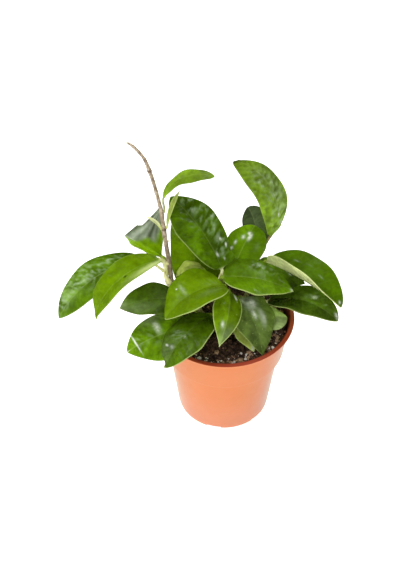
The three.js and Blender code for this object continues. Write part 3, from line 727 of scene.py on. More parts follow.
def blade_grid(data, style, order):
    """The blade's upper and lower points, ring by ring, and what its material reads at each of them."""
    stations, centre, side, face, length = blade_frames(data)
    share = np.linspace(-1, 1, BLADE_POINTS)
    across_share = 0.35 * share + 0.65 * np.sin(share * math.pi / 2)
    half = data["width"] / 2 * half_outline(stations, data["belly"], data["blunt"])
    half = np.maximum(half, TIP_HALF_WIDTH)
    t = np.repeat(stations[:, None], BLADE_POINTS, 1)
    u = np.repeat(across_share[None, :], BLADE_RINGS, 0)
    wide = half[:, None] * (1 + np.sign(u) * data["lean"])
    for dent_side, place, depth, reach in style["dents"]:
        nick = 1 - depth * np.exp(-(((t - place) / reach) ** 2))
        wide = np.where(u * dent_side > 0, wide * nick, wide)
    out, up, face_out, face_up = section(u, t, data)
    lift = up * wide
    if not data["slim"]:
        phase = WAVE_SHIFT * order + np.where(u < 0, 0, 2)
        wave = np.sin(math.pi * t) * np.sin(2 * math.pi * WAVES * t + phase)
        lift += WAVE_HEIGHT * np.abs(u) ** 3 * wave
    middle = centre[:, None] + side[:, None] * (out * wide)[..., None] + face[:, None] * lift[..., None]
    if style["split"]:
        cut = style["split"] * length * np.exp(-((u / 0.35) ** 2)) * smooth((t - 0.88) / 0.12)
        middle -= cut[..., None] * np.cross(face, side)[:, None]
    normal = side[:, None] * face_out[..., None] + face[:, None] * face_up[..., None]

    along_mm = t * length
    across_mm = u * wide
    edge_mm = np.minimum((1 - np.abs(u)) * wide, (1 - t) * length * 0.5)
    inner = smooth(edge_mm / 3) * smooth(np.abs(across_mm) / 2.5) * smooth(t / 0.1)
    swell = crumple(along_mm, across_mm, order) * inner
    middle = middle + normal * (PUCKER_HEIGHT * style["pucker"] * swell)[..., None]
    thick = MIDRIB_THICKNESS + (EDGE_THICKNESS - MIDRIB_THICKNESS) * t ** 4
    thickness = thick + (EDGE_THICKNESS - thick) * np.sqrt(np.abs(u))
    thickness *= 0.25 + 0.75 * np.sqrt(np.clip(edge_mm / 0.5, 0, 1))
    if data["slim"]:
        thickness *= 0.8
    groove = 0.2 * np.exp(-((across_mm / 0.9) ** 2)) * smooth(t / 0.05) * (1 - t)
    keel = 0.7 * np.exp(-((across_mm / 1.1) ** 2)) * (1 - t)
    upper = middle + normal * (thickness / 2 - groove)[..., None]
    lower = middle - normal * (thickness / 2 + keel)[..., None]
    place = (along_mm, across_mm, edge_mm)
    tone, marks = blade_tones(style, order, t, u, place, swell, wide, length)
    return centre, side, face, upper, lower, place, tone, marks


def blade_tones(style, order, t, u, place, swell, wide, length):
    """Lightness with its painted light and shade, paleness of the margin, and the painted gloss, painted
    highlights and painted sheen at each point of the blade.
    """
    along_mm, across_mm, edge_mm = place
    gloss, shine, veil, pale, light = paint(style["marks"], t, u, along_mm, across_mm, wide, length)
    # The swellings a millimetre further on: where their flanks face the lamps they get painted gloss and
    # painted highlights, and the troughs beside them painted shade. The swellings themselves are painted
    # lighter and their hollows darker.
    lit_flank = crumple(along_mm - 1, across_mm - 1, order)
    light *= 1 + 0.3 * min(style["pucker"], 1) * np.clip(swell, -1, 1)
    light *= 1 - 0.45 * gloss * smooth((-0.05 - lit_flank) / 0.4)
    shine = np.maximum(shine, 0.45 * gloss * smooth((lit_flank - 0.35) / 0.5))
    gloss *= smooth((lit_flank + 0.1) / 0.5)
    # Painted light and shade over each half, and from the base to the tip
    left, right = style["halves"]
    near, far = style["ends"]
    light *= left + (right - left) * smooth(across_mm / 4 + 0.5)
    light *= near + (far - near) * smooth((t - 0.15) / 0.6)
    edges = np.where(u < 0, *style["edges"])
    margin = edges * (1 - smooth((edge_mm - 0.15) / (0.5 + 0.5 * edges)))
    return (light, np.maximum(margin, pale)), (gloss, shine, veil)


def leaf_rings(data, style, order):
    """Rings of points from the stem to the tip, with three sets of numbers for each point: place is the
    distance from the base, the midrib and the margin, tone is the side, the lightness with its painted
    light and shade and the margin's paleness, and marks is the painted gloss, the painted highlights with
    a pale scratch, and the painted sheen."""
    centre, side, face, upper, lower, place, tone, marks = blade_grid(data, style, order)
    count = BLADE_POINTS
    petiole = LEAFLET_PETIOLE_RADIUS if data["slim"] else PETIOLE_RADIUS * style["stalk_size"]
    start, lead = petiole_start(data)
    forward = np.cross(face[0], side[0])
    pull = np.linalg.norm(start - data["base"]) / 3
    corners = [start, start + lead * pull, data["base"] - forward * pull, data["base"]]
    angles = math.pi * (1 - (np.arange(2 * count) + 0.5) / count)
    stalk = []
    for w in np.linspace(0, 1, PETIOLE_RINGS + 1)[:-1]:
        along = unit(bezier_slope(corners, w))
        beside = unit(side[0] - along * (side[0] @ along))
        above = np.cross(beside, along)
        radius = petiole * (1.25 - 0.25 * smooth(w / 0.3))
        ring = np.outer(np.cos(angles), beside) + np.outer(np.sin(angles), above)
        stalk.append(bezier(corners, w) + radius * ring)

    # The blade's first rings turn from the petiole's round section to the flat one
    blade = np.concatenate([upper, lower[:, ::-1]], 1)
    turned = angles[:, None]
    round_part = np.cos(turned) * side[:, None] + np.sin(turned) * face[:, None]
    flat = smooth(np.linspace(0, 1, BLADE_RINGS) / 0.07)[:, None, None]
    blade = (centre[:, None] + petiole * round_part) * (1 - flat) + blade * flat
    rings = np.concatenate([np.array(stalk), blade])

    def all_round(stalk_values, *grids):
        """The petiole's values, and those of the grids on both faces of the blade."""
        petiole_part = np.broadcast_to(stalk_values, (PETIOLE_RINGS, 2 * count, 3))
        blade_part = np.stack([np.concatenate([grid, grid[:, ::-1]], 1) for grid in grids], 2)
        return np.concatenate([petiole_part, blade_part])

    from_base = -np.linspace(pull * 3, 0, PETIOLE_RINGS + 1)[:-1, None, None]
    place = all_round(from_base * (1, 0, 0) + (0, 0, FAR_FROM_EDGE), *place)
    tone = all_round((1, 1, 0), np.ones((BLADE_RINGS, count)), *tone)
    tone[PETIOLE_RINGS:, count:, 0] = 0
    marks = all_round(0, *marks)
    return rings, place, tone, marks


def make_leaf(name, data, style, order):
    """A petiole and its blade in one piece. order seeds the leaf's own unevenness."""
    rings, place, tone, marks = leaf_rings(data, style, order)
    slot = "young_leaf" if data["slim"] else "leaf"
    skin = leaf_material(name, style)
    piece = make_object(name + "_blade", rings.reshape(-1, 3), tube_faces(rings), skin, slot, name)
    store(piece, "place", place)
    store(piece, "tone", tone)
    store(piece, "marks", marks)


# Stems
def between(a, b, start, end, t):
    """The point at t on a line that is at a when t is start and at b when t is end."""
    return (a * (end - t) + b * (t - start)) / (end - start)


def stem_path(points):
    """A centripetal Catmull-Rom curve through the points, straight at its foot, and its radii."""
    places = [np.array(p[:3], float) for p in points]
    padded = [2 * places[0] - places[1], *places, 2 * places[-1] - places[-2]]
    path, radii = [], []
    for k in range(len(points) - 1):
        p0, p1, p2, p3 = padded[k:k + 4]
        t1 = np.linalg.norm(p1 - p0) ** 0.5
        t2 = t1 + np.linalg.norm(p2 - p1) ** 0.5
        t3 = t2 + np.linalg.norm(p3 - p2) ** 0.5
        for i in range(STEM_STEPS):
            w = i / STEM_STEPS
            t = t1 + (t2 - t1) * w
            a1 = between(p0, p1, 0, t1, t)
            a2 = between(p1, p2, t1, t2, t)
            a3 = between(p2, p3, t2, t3, t)
            b1 = between(a1, a2, 0, t2, t)
            b2 = between(a2, a3, t1, t3, t)
            point = between(b1, b2, t1, t2, t)
            path.append(p1 * (1 - w) + p2 * w if k == 0 else point)
            radii.append(points[k][3] * (1 - w) + points[k + 1][3] * w)
    path.append(places[-1])
    radii.append(points[-1][3])
    return np.array(path), np.array(radii)


def make_stem(name, points, material, slot, rings_at=()):
    """A slightly uneven stem with raised rings at these heights."""
    path, radii = stem_path(points)
    rings = round_rings(path, np.gradient(path, axis=0), radii, STEM_SIDES, np.array([1.0, 0, 0]))
    for ring, centre, radius in zip(rings, path, radii):
        collar = sum(math.exp(-(((centre[2] - z) / RING_REACH) ** 2)) for z in rings_at)
        for j, point in enumerate(ring):
            rough = noise.noise(Vector(point * 0.9))
            ring[j] = point + (point - centre) * (0.07 * rough + RING_HEIGHT * collar / radius)
    make_object(name + "_bark", rings.reshape(-1, 3), tube_faces(rings), material, slot, name)


def make_bud(name, corners, radius, material):
    """A small bud or scale that grows along a curve and ends in a point."""
    corners = [np.array(c, float) for c in corners]
    steps = np.linspace(0, 1, BUD_RINGS)
    path = [bezier(corners, w) for w in steps]
    headings = [bezier_slope(corners, w) for w in steps]
    taper = 0.06 + 0.94 * (1 - steps ** 2.2)
    sizes = radius * taper * (0.75 + 0.25 * np.sin(math.pi * np.minimum(1, steps * 1.6)))
    rings = round_rings(path, headings, sizes, BUD_SIDES, np.array([1.0, 0.2, 0]))
    make_object(name, rings.reshape(-1, 3), tube_faces(rings), material, "green_stem")


# Pot
def round_corners(points):
    """Replaces each profile corner that carries a radius by an arc-like curve."""
    made = []
    for k, (r, z, radius) in enumerate(points):
        if not radius:
            made.append((r, z))
            continue
        corner = np.array([r, z])
        before = np.array(points[k - 1][:2])
        after = np.array(points[(k + 1) % len(points)][:2])
        start = corner + unit(before - corner) * radius
        end = corner + unit(after - corner) * radius
        for i in range(CORNER_STEPS + 1):
            w = i / CORNER_STEPS
            point = start * (1 - w) ** 2 + 2 * corner * w * (1 - w) + end * w ** 2
            made.append(tuple(point))
    return made


def lathe(profile, segments):
    """Points and faces of a profile turned about the Z axis, on which its first and last points lie."""
    rings = profile[1:-1]
    points = [(0, 0, profile[0][1])]
    for r, z in rings:
        points += [(x, y, z) for x, y in circle(r, segments)]
    points.append((0, 0, profile[-1][1]))
    faces = ring_faces(len(rings), segments, 1)
    last = 1 + (len(rings) - 1) * segments
    for j in range(segments):
        after = (j + 1) % segments
        faces.append((0, 1 + after, 1 + j))
        faces.append((last + j, last + after, len(points) - 1))
    return points, faces


def make_pot(material, inner_material):
    """The pot with its slots cut out. Its inward faces take the inner material, which is painted dark as
    shade.
    """
    under = POT_HEIGHT - LIP_THICKNESS
    profile = [(0, 0)] + round_corners([
        (FOOT_RADIUS, 0, 0.4),
        (FOOT_RADIUS + 1.3, 0.8, 0.6),
        (BODY_FOOT_RADIUS, BODY_FOOT_Z, 1.5),
        (BODY_TOP_RADIUS, BODY_TOP_Z, 0.8),
        (COLLAR_FOOT_RADIUS, COLLAR_FOOT_Z, 0.8),
        (COLLAR_TOP_RADIUS, under, 0.5),
        (LIP_RADIUS - 0.5, under, 0.3),
        (LIP_RADIUS, under + 0.7, 0.4),
        (LIP_RADIUS, POT_HEIGHT - 0.5, 0.4),
        (LIP_RADIUS - 0.5, POT_HEIGHT, 0.3),
        (LIP_INNER_RADIUS, POT_HEIGHT, 0.9),
        (COLLAR_TOP_RADIUS - WALL, under, 0.6),
        (COLLAR_FOOT_RADIUS - WALL, COLLAR_FOOT_Z + WALL, 0.6),
        (BODY_TOP_RADIUS - WALL, COLLAR_FOOT_Z, 0.6),
        (BODY_FOOT_RADIUS - WALL, BODY_FOOT_Z, 1),
        (FOOT_RADIUS - 0.5, WALL, 0.5),
    ]) + [(0, WALL)]
    points, faces = lathe(profile, POT_SEGMENTS)
    pot = make_object("pot_shell", points, faces, material, "pot", "pot")
    cutter = slot_cutter()
    cut = pot.modifiers.new("slots", "BOOLEAN")
    cut.operation = "DIFFERENCE"
    cut.object = cutter
    cut.solver = "EXACT"
    bpy.context.view_layer.update()
    shown = pot.evaluated_get(bpy.context.evaluated_depsgraph_get())
    pot.data = bpy.data.meshes.new_from_object(shown)
    pot.modifiers.clear()
    bpy.data.objects.remove(cutter)
    pot.data.shade_smooth()
    pot.data.materials.append(inner_material)
    for face in pot.data.polygons:
        inward = -(face.normal.xy.dot(face.center.xy.normalized()))
        if inward > 0.3 and face.center.z > INNER_SHADE_FROM_Z * MM:
            face.material_index = 1
    pot.data.set_sharp_from_angle(angle=math.radians(SHARP_DEGREES))


def slot_cutter():
    """Boxes in the place of the drainage slots at the pot's foot."""
    points, faces = [], []
    for i in range(SLOT_COUNT):
        turn = np.array(Matrix.Rotation(math.radians(SLOT_FIRST_DEGREES + 360 / SLOT_COUNT * i), 3, "Z"))
        first = len(points)
        for x in (FOOT_RADIUS - 4, FOOT_RADIUS + 8):
            for y in (-SLOT_WIDTH / 2, SLOT_WIDTH / 2):
                for z in (-SLOT_HEIGHT, SLOT_HEIGHT):
                    points.append(turn @ np.array([x, y, z]))
        for face in ((0, 1, 3, 2), (4, 6, 7, 5), (0, 4, 5, 1), (2, 3, 7, 6), (0, 2, 6, 4), (1, 5, 7, 3)):
            faces.append(tuple(first + k for k in face))
    return add_mesh("slots", points, faces)


# Potting mix
def seeded(seed):
    """The same repeatable numbers between 0 and 1 as the solid's lumps are placed by."""
    state = seed
    while True:
        state = state * 16807 % 2147483647
        yield state / 2147483647


def soil_lumps():
    """Round lumps in the potting mix: x, y, radius and how far each rises."""
    chance = seeded(LUMP_SEED)
    lumps = []
    for _ in range(LUMP_COUNT):
        distance = LUMP_REACH * math.sqrt(next(chance))
        angle = 2 * math.pi * next(chance)
        x = distance * math.cos(angle)
        y = distance * math.sin(angle)
        size = 3 + 4 * next(chance)
        lumps.append((x, y, size, 1 + 2 * next(chance)))
    return lumps


LUMPS = soil_lumps()


def soil_height(x, y):
    """How far the lumps and grains of the potting mix rise above its level."""
    height = 0
    for lump_x, lump_y, size, rise in LUMPS:
        near = ((x - lump_x) ** 2 + (y - lump_y) ** 2) / size ** 2
        height = max(height, rise * max(0, 1 - near))
    place = Vector((x, y, 0))
    height += 0.9 * noise.noise(place * 0.35)
    height += 0.55 * abs(noise.noise(place * 0.9 + Vector((7, 3, 1))))
    height += 0.25 * noise.noise(place * 2.2)
    return height


def inner_radius(z):
    """Radius of the pot's inside at a height, less the gap to the potting mix."""
    if z > COLLAR_FOOT_Z + WALL:
        share = (z - COLLAR_FOOT_Z) / (POT_HEIGHT - LIP_THICKNESS - COLLAR_FOOT_Z)
        return COLLAR_FOOT_RADIUS + (COLLAR_TOP_RADIUS - COLLAR_FOOT_RADIUS) * share - WALL - SOIL_GAP
    share = (z - BODY_FOOT_Z) / (BODY_TOP_Z - BODY_FOOT_Z)
    return BODY_FOOT_RADIUS + (BODY_TOP_RADIUS - BODY_FOOT_RADIUS) * share - WALL - SOIL_GAP


def soil_surface(x, y):
    """Height of the potting mix's surface, which lies level along the pot's wall."""
    from_wall = inner_radius(SOIL_TOP_Z) - math.hypot(x, y)
    return SOIL_TOP_Z + soil_height(x, y) * min(1, from_wall / SOIL_LEVEL_RIM)


def make_soil(material):
    """The potting mix down to the pot's bottom, with the pot's own taper."""
    rings = []
    for i in range(1, SOIL_RINGS + 1):
        spots = circle(inner_radius(SOIL_TOP_Z) * i / SOIL_RINGS, SOIL_SPOKES)
        rings.append([(x, y, soil_surface(x, y)) for x, y in spots])
    sides = [
        (inner_radius(COLLAR_FOOT_Z + WALL + 1), COLLAR_FOOT_Z + WALL + 1),
        (BODY_TOP_RADIUS - WALL - SOIL_GAP, COLLAR_FOOT_Z + 0.6),
        (inner_radius(5), 5),
        (FOOT_RADIUS - 2, SOIL_BOTTOM_Z),
    ]
    for r, z in sides:
        rings.append([(x, y, z) for x, y in circle(r, SOIL_SPOKES)])
    make_object("soil_mix", np.array(rings).reshape(-1, 3), tube_faces(rings), material, "soil", "soil")


# Loose bits on the potting mix
SPHERE_DETAIL = 2
BITS_FROM_WALL = 1.5

# Those that show between the leaves: x, y, size and how long they are
PERLITE_SEEN = [
    (-28, -45.3, 1.2, 1.2),
    (-22, -45.3, 1.8, 1.1),
    (-16.5, -48, 2.2, 1.1),
    (-12, -49.3, 1.2, 1.2),
    (40.5, -33, 2.1, 1.1),
]
BARK_SEEN = [(20.7, -38, 2.4, 1.5), (26.5, -44.5, 2, 1.4), (42.5, -18, 2.6, 1.3), (-12, 16, 1.4, 4.5)]


def sphere_points():
    """Points and faces of a small icosphere of radius 1."""
    made = bmesh.new()
    bmesh.ops.create_icosphere(made, subdivisions=SPHERE_DETAIL, radius=1)
    made.verts.index_update()
    points = [vertex.co.copy() for vertex in made.verts]
    faces = [tuple(vertex.index for vertex in face.verts) for face in made.faces]
    made.free()
    return points, faces


def scatter(name, count, seed, sizes, flatten, rough, material, where=None, seen=()):
    """Small lumps that lie half sunk in the potting mix, joined in one piece: those seen at their places,
    and count more by chance."""
    rng = random.Random(seed)
    base, base_faces = sphere_points()
    points, faces = [], []
    rim = inner_radius(SOIL_TOP_Z) - BITS_FROM_WALL
    spots = list(seen)
    while len(spots) < count + len(seen):
        distance = rim * math.sqrt(rng.random())
        angle = 2 * math.pi * rng.random()
        x = distance * math.cos(angle)
        y = distance * math.sin(angle)
        keep = rng.random()
        if where and keep > where(x, y):
            continue
        spots.append((x, y, sizes[0] + (sizes[1] - sizes[0]) * rng.random() ** 2, 1))
    for x, y, size, length in spots:
        broad = 0.6 + 0.4 * rng.random()
        shape = Vector((length, broad, flatten[0] + (flatten[1] - flatten[0]) * rng.random()))
        turn = Matrix.Rotation(2 * math.pi * rng.random(), 3, "Z")
        turn = Matrix.Rotation(rng.uniform(-0.5, 0.5), 3, "X") @ turn
        offset = Vector((rng.random(), rng.random(), rng.random())) * 50
        height = soil_surface(x, y)
        first = len(points)
        for point in base:
            swell = 1 + rough * noise.noise(point * 1.4 + offset)
            local = turn @ (point * shape * (size * swell))
            points.append((x + local.x, y + local.y, height + local.z + 0.25 * size * shape.z))
        faces += [tuple(first + k for k in face) for face in base_faces]
    make_object(name, points, faces, material, "soil")


def near_front_wall(x, y):
    """How likely a loose bit is kept: they gather along the front wall and are scarce elsewhere."""
    front = 1 if y < -10 else 0.35
    return front * (0.12 + 0.88 * smooth((math.hypot(x, y) - 38) / 12))


# Materials
class Shader:
    """A material's node tree, with short calls for the nodes that the patterns use."""

    def __init__(self, name):
        self.material = bpy.data.materials.new(name)
        self.material.use_nodes = True
        self.tree = self.material.node_tree
        self.tree.nodes.clear()
        self.output = self.tree.nodes.new("ShaderNodeOutputMaterial")

    def node(self, kind, inputs, **settings):
        """The outputs of a new node. Each input, by name or place, takes a value or another's output."""
        made = self.tree.nodes.new(kind)
        for key, value in settings.items():
            setattr(made, key, value)
        for key, value in inputs.items():
            if isinstance(value, bpy.types.NodeSocket):
                self.tree.links.new(value, made.inputs[key])
            else:
                made.inputs[key].default_value = value
        return made.outputs

    def math(self, operation, a, b=0.0):
        return self.node("ShaderNodeMath", {0: a, 1: b}, operation=operation)[0]

    def times(self, a, b):
        return self.math("MULTIPLY", a, b)

    def mix(self, share, a, b):
        inputs = {0: share, 6: a, 7: b}
        return self.node("ShaderNodeMix", inputs, data_type="RGBA", clamp_factor=True)[2]

    def scale(self, colour, factor):
        """The colour made lighter or darker by a factor."""
        return self.node("ShaderNodeVectorMath", {0: colour, "Scale": factor}, operation="SCALE")[0]

    def ramp(self, value, low, high, to_low=0.0, to_high=1.0):
        """A smooth step of value from low to high."""
        inputs = dict(enumerate((value, low, high, to_low, to_high)))
        return self.node("ShaderNodeMapRange", inputs, interpolation_type="SMOOTHSTEP")[0]

    def noise(self, scale, detail, vector=None, roughness=0.5):
        inputs = {"Scale": scale, "Detail": detail, "Roughness": roughness}
        inputs["Vector"] = vector or self.object_place()
        return self.node("ShaderNodeTexNoise", inputs)["Fac"]

    def cells(self, scale, feature="F1"):
        inputs = {"Scale": scale, "Vector": self.object_place()}
        return self.node("ShaderNodeTexVoronoi", inputs, feature=feature)["Distance"]

    def object_place(self):
        """The point in the part's own frame, in metres."""
        return self.node("ShaderNodeTexCoord", {})["Object"]

    def attribute(self, name):
        """The three numbers that the mesh keeps under this name."""
        return self.split(self.node("ShaderNodeAttribute", {}, attribute_name=name)["Vector"])

    def split(self, vector):
        return self.node("ShaderNodeSeparateXYZ", {0: vector})

    def bump(self, height, strength, distance):
        inputs = {"Height": height, "Strength": strength, "Distance": distance}
        return self.node("ShaderNodeBump", inputs)["Normal"]

    def surface(self, **values):
        inputs = {name.replace("_", " "): value for name, value in values.items()}
        return self.node("ShaderNodeBsdfPrincipled", inputs)[0]

    def finish(self, shader):
        self.tree.links.new(shader, self.output.inputs["Surface"])
        return self.material


# The leaves' colours, with haze and silver as the tones of the painted sheen, and the lighter and the
# darker colour of each kind of petiole
TONES = {
    "spring": tint(124, 158, 34),
    "lime": tint(168, 186, 84),
    "bright": tint(112, 148, 4),
    "mid": tint(93, 130, 6),
    "deep": tint(78, 111, 4),
    "dark": tint(65, 91, 10),
    "sage": tint(86, 110, 32),
    "pale": tint(140, 162, 98),
    "silver": tint(152, 160, 144),
    "haze": tint(140, 160, 112),
    "straw": tint(236, 242, 180),
    "cream": tint(238, 246, 172),
}
# Colours of the painted gloss, of the painted highlights and the pale scratch, and of the pale margins,
# veins and specks
PAINTED_GLOSS = tint(165, 186, 150)
PAINTED_SHINE_AND_SCRATCHES = tint(238, 244, 230)
MARGIN = tint(202, 220, 136)
STALKS = {
    "green": (tint(150, 172, 60), tint(120, 140, 44)),
    "lime": (tint(225, 232, 150), tint(196, 208, 110)),
    "tan": (tint(176, 160, 112), tint(120, 116, 62)),
    "cream": (tint(250, 248, 205), tint(222, 224, 140)),
    "grey": (tint(186, 192, 140), tint(150, 160, 100)),
}


def leaf_material(name, style):
    """Waxy green with faint veins, darker and lighter clouds and the leaf's real gloss, with painted light
    and shade, painted sheen, painted gloss and painted highlights in its colour.
    """
    s = Shader(name + "_skin")
    along, across, edge = s.attribute("place")
    upper, light, margin = s.attribute("tone")
    gloss, shine, veil = s.attribute("marks")
    side = s.math("ABSOLUTE", across)

    # Veins leave the midrib forward and wander a little
    wander = s.times(s.math("SUBTRACT", s.noise(90, 2), 0.5), 5.0)
    phase = s.math("ADD", s.math("SUBTRACT", along, s.times(side, VEIN_FORWARD)), wander)
    lateral = s.ramp(s.math("PINGPONG", phase, VEIN_SPACING / 2), 0.0, 0.9, 1.0, 0.0)
    lateral = s.times(lateral, s.ramp(edge, 0.5, 5.0))
    rib = s.ramp(side, 0.2, 0.9, 1.0, 0.0)

    patchy = style["patchy"]
    cloud = s.ramp(s.noise(75, 3, roughness=0.6), 0.3, 0.7, 1 - 0.36 * patchy, 1 + 0.28 * patchy)
    mottle = s.ramp(s.noise(330, 3), 0.3, 0.75, 0.92, 1.1)
    # Painted sheen over the leaf's tone, then its lightness with the painted light and shade
    colour = s.mix(veil, TONES[style["tone"]], TONES[style["sheen"]])
    colour = s.scale(colour, s.times(s.times(cloud, mottle), light))
    colour = s.mix(s.times(lateral, 0.02), colour, MARGIN)
    colour = s.mix(s.times(rib, style["rib"]), colour, MARGIN)
    fleck = s.ramp(s.cells(300), 0.02, 0.05 + 0.1 * style["dust"], 1.0, 0.0)
    colour = s.mix(s.times(fleck, style["dust"]), colour, MARGIN)
    # Painted gloss in blotches, then painted highlights and the pale scratch
    grain = s.noise(520, 3, roughness=0.6)
    blotch = s.ramp(grain, 0.3, 0.6, 0.6, 1.0)
    colour = s.mix(s.times(s.times(gloss, 0.7), blotch), colour, PAINTED_GLOSS)
    ragged = s.times(shine, s.ramp(grain, 0.3, 0.65, 0.75, 1.2))
    colour = s.mix(s.ramp(ragged, 0.0, 1.0), colour, PAINTED_SHINE_AND_SCRATCHES)

    below = s.scale(TONES[style["under"]][:3], s.times(cloud, mottle))
    below = s.mix(s.times(lateral, 0.2), below, MARGIN)
    colour = s.mix(upper, below, colour)
    colour = s.mix(margin, colour, MARGIN)
    stalk_light, stalk_dark = STALKS[style["stalk"]]
    stalk_colour = s.mix(s.ramp(s.noise(300, 3), 0.35, 0.7), stalk_dark, stalk_light)
    colour = s.mix(s.ramp(along, -1.0, 3.0, 1.0, 0.0), colour, stalk_colour)

    skin = s.noise(1500, 3)
    relief = s.math("ADD", s.times(skin, 0.3), s.times(s.noise(330, 2), 0.7))
    normal = s.bump(relief, 0.2, 0.0004)
    roughness = s.ramp(s.noise(120, 3), 0.3, 0.7, 0.2, 0.32)
    body = s.surface(
        Base_Color=colour, Roughness=roughness, Normal=normal, IOR=1.45, Specular_IOR_Level=0.14,
    )
    through = s.node("ShaderNodeBsdfTranslucent", {"Color": colour, "Normal": normal})[0]
    return s.finish(s.node("ShaderNodeMixShader", {0: LIGHT_THROUGH, 1: body, 2: through})[0])


def bark_material(name, light, dark, mark, low, nodes_at=()):
    """Long fine streaks up the stem with darker specks, another tone low down and a dark line at each
    node."""
    s = Shader(name)
    place = s.object_place()
    stretched = s.node("ShaderNodeMapping", {"Vector": place, "Scale": (1, 1, 0.05)})[0]
    streak = s.ramp(s.noise(800, 3, stretched), 0.3, 0.72)
    colour = s.mix(streak, dark, light)
    speck = s.ramp(s.noise(700, 3), 0.6, 0.7)
    colour = s.mix(s.times(speck, 0.35), colour, mark)
    z = s.split(place)[2]
    colour = s.mix(s.ramp(z, LOW_BARK_Z * MM, HIGH_BARK_Z * MM, 0.5, 0.0), colour, low)
    for height in nodes_at:
        far = s.math("ABSOLUTE", s.math("SUBTRACT", z, (height + 0.5) * MM))
        line = s.ramp(far, 0.4 * MM, 1.4 * MM, 0.75, 0.0)
        colour = s.mix(line, colour, mark)
    normal = s.bump(streak, 0.6, 0.0003)
    return s.finish(s.surface(Base_Color=colour, Roughness=0.6, Normal=normal))


def pot_material():
    """Thin satin plastic: salmon outside and red-brown on the lip, with painted light that makes the body
    paler towards the foot.
    """
    s = Shader("pot_plastic")
    z = s.split(s.object_place())[2]
    cloud = s.noise(18, 2)
    body = s.mix(cloud, tint(226, 133, 74), tint(219, 125, 68))
    scuff = s.ramp(s.noise(900, 4, roughness=0.7), 0.6, 0.75)
    body = s.mix(s.times(scuff, 0.12), body, tint(250, 190, 160))
    # Painted light: the body turns paler and pinker towards the foot
    body = s.mix(s.ramp(z, 0.0, PAINTED_FOOT_LIGHT_TOP * MM, 0.9, 0.0), body, tint(222, 140, 102))
    lip = s.ramp(z, (POT_HEIGHT - 0.7) * MM, (POT_HEIGHT - 0.35) * MM)
    red = s.mix(s.noise(60, 2), tint(158, 58, 28), tint(136, 44, 22))
    colour = s.mix(lip, body, red)
    skin = s.bump(s.noise(2500, 2), 0.08, 0.0002)
    roughness = s.ramp(s.noise(140, 3), 0.3, 0.7, 0.36, 0.48)
    return s.finish(s.surface(
        Base_Color=colour, Roughness=roughness, Normal=skin,
        Subsurface_Weight=0.15, Subsurface_Scale=0.004,
        Sheen_Weight=0.9, Sheen_Roughness=0.35, Sheen_Tint=(0.85, 0.92, 0.9, 1),
    ))


def pot_inside_material():
    """The pot's red-brown inner plastic, painted far darker as the shade inside the wall, and darker still
    in blotches.
    """
    s = Shader("pot_inside")
    inner_blotches = s.ramp(s.noise(300, 4, roughness=0.65), 0.4, 0.65)
    # Painted shade: both tones are far darker than the lip's red
    colour = s.mix(inner_blotches, tint(104, 36, 18), tint(66, 26, 16))
    return s.finish(s.surface(Base_Color=colour, Roughness=0.7, Normal=s.bump(inner_blotches, 0.3, 0.0002)))


def soil_material():
    """Near-black peat with paler fibres and damp patches."""
    s = Shader("soil_peat")
    grain = s.noise(700, 5, roughness=0.7)
    colour = s.mix(s.ramp(grain, 0.35, 0.7), tint(22, 13, 10), tint(90, 64, 50))
    fibre = s.ramp(s.cells(520, "DISTANCE_TO_EDGE"), 0.0, 0.08, 1.0, 0.0)
    colour = s.mix(s.times(fibre, 0.35), colour, tint(104, 76, 56))
    damp = s.ramp(s.noise(70, 2), 0.42, 0.6, 0.0, 0.7)
    colour = s.mix(damp, colour, tint(16, 9, 8))
    normal = s.bump(grain, 0.9, 0.0012)
    return s.finish(s.surface(Base_Color=colour, Roughness=0.85, Normal=normal))


def bit_material(name, light, dark, rough):
    """A finely grained surface in two tones."""
    s = Shader(name)
    grain = s.ramp(s.noise(900, 4, roughness=0.65), 0.35, 0.7)
    colour = s.mix(grain, dark, light)
    return s.finish(s.surface(Base_Color=colour, Roughness=rough, Normal=s.bump(grain, 0.6, 0.0005)))


# Build the plant
make_pot(pot_material(), pot_inside_material())
make_soil(soil_material())
perlite = bit_material("perlite_white", tint(252, 248, 242), tint(216, 206, 194), 0.8)
chips = bit_material("bark_tan", tint(200, 168, 136), tint(112, 80, 58), 0.8)
crumbs = bit_material("peat_crumb", tint(112, 84, 66), tint(34, 22, 17), 0.85)
scatter("peat_crumbs", 900, 5, (0.7, 2.6), (0.5, 0.9), 0.7, crumbs)
scatter("bark_chips", 260, 6, (0.5, 2.4), (0.3, 0.6), 0.8, chips, near_front_wall, BARK_SEEN)
scatter("perlite_grains", 150, 7, (0.4, 1.4), (0.7, 1.0), 0.5, perlite, near_front_wall, PERLITE_SEEN)

vine_bark = bark_material(
    "vine_bark", tint(206, 190, 164), tint(128, 108, 84), tint(84, 60, 40), tint(86, 70, 40), VINE_NODES
)
green_bark = bark_material(
    "green_bark", tint(150, 156, 84), tint(112, 112, 62), tint(90, 74, 50), tint(130, 126, 70)
)
for name, points in STEMS.items():
    if name == "stem_vine":
        make_stem(name, points, vine_bark, "bark", VINE_RINGS)
    else:
        make_stem(name, points, green_bark, "green_stem")

bud_skin = bit_material("bud_cream", tint(255, 250, 200), tint(240, 236, 150), 0.5)
for name, (radius, corners) in BUDS.items():
    make_bud(name, corners, radius, bud_skin)

for order, (name, data) in enumerate(LEAVES.items()):
    make_leaf(name, data, LOOKS[name], order)

# Floor
FLOOR_REACH = 6000
FLOOR_Z = -0.4
floor_shader = Shader("floor_white")
floor_corners = [(x, y, FLOOR_Z) for x, y in (
    (-FLOOR_REACH, -FLOOR_REACH),
    (FLOOR_REACH, -FLOOR_REACH),
    (FLOOR_REACH, FLOOR_REACH),
    (-FLOOR_REACH, FLOOR_REACH),
)]
floor = add_mesh("floor", floor_corners, [(0, 1, 2, 3)])
floor.data.materials.append(floor_shader.finish(floor_shader.surface(
    Base_Color=tint(250, 250, 250), Roughness=0.9, Emission_Color=(1, 1, 1, 1), Emission_Strength=0.8,
)))
floor.visible_glossy = False


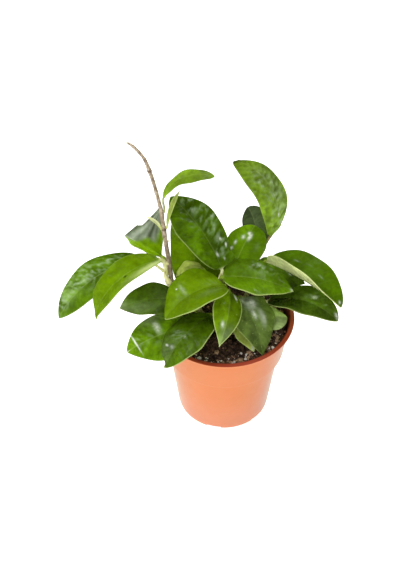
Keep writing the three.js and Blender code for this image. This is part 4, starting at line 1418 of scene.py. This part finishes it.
# Light
def softbox(name, azimuth, height, distance, size, power, glossy):
    """A rectangular lamp that faces the middle of the plant from a distance in metres. azimuth is 0
    behind the plant and 90 on its right, and height is its angle above the plant, in degrees."""
    lamp = bpy.data.lights.new(name, "AREA")
    lamp.shape = "RECTANGLE"
    lamp.size, lamp.size_y = size
    lamp.energy = power
    turn = math.radians(azimuth)
    lift = math.radians(height)
    away = Vector((math.sin(turn) * math.cos(lift), math.cos(turn) * math.cos(lift), math.sin(lift)))
    made = add_object(name, lamp)
    made.location = CAMERA_TARGET + away * distance
    made.rotation_euler = away.to_track_quat("Z", "Y").to_euler()
    made.visible_glossy = glossy


# Lamps: azimuth, height, distance, size, power and whether its reflection shows
LAMPS = {
    "key_left": (-130, 62, 1.6, (0.8, 0.8), 11, False),
    "fill_front": (-170, 30, 1.6, (1.0, 0.7), 8, False),
    "fill_left": (-85, 12, 1.6, (0.8, 0.6), 4, False),
    "fill_back": (20, 60, 1.6, (1.0, 0.6), 6, False),
    "gloss_back": (38, 50, 1.5, (0.45, 0.3), 4, True),
    "gloss_left": (-70, 46, 1.5, (0.6, 0.45), 4, True),
    "gloss_right": (140, 45, 1.5, (0.35, 0.3), 2, True),
}
for name, settings in LAMPS.items():
    softbox(name, *settings)

world = bpy.data.worlds.new("studio")
world.use_nodes = True
backdrop = world.node_tree.nodes["Background"]
backdrop.inputs["Color"].default_value = (1, 1, 1, 1)
backdrop.inputs["Strength"].default_value = 0.2
bpy.context.scene.world = world
world.cycles_visibility.glossy = False
bpy.context.scene.view_settings.view_transform = "Standard"

# Camera
camera_data = bpy.data.cameras.new("camera")
camera_data.sensor_width = SENSOR
camera_data.lens = SENSOR * FOCAL_PIXELS / FRAME_HEIGHT_PIXELS
camera_data.clip_end = 50
camera = add_object("camera", camera_data)
back = Vector((0, -math.cos(CAMERA_DOWN), math.sin(CAMERA_DOWN)))
camera.location = CAMERA_TARGET + back * CAMERA_DISTANCE
camera.rotation_euler = (-back).to_track_quat("-Z", "Y").to_euler()
bpy.context.scene.camera = camera
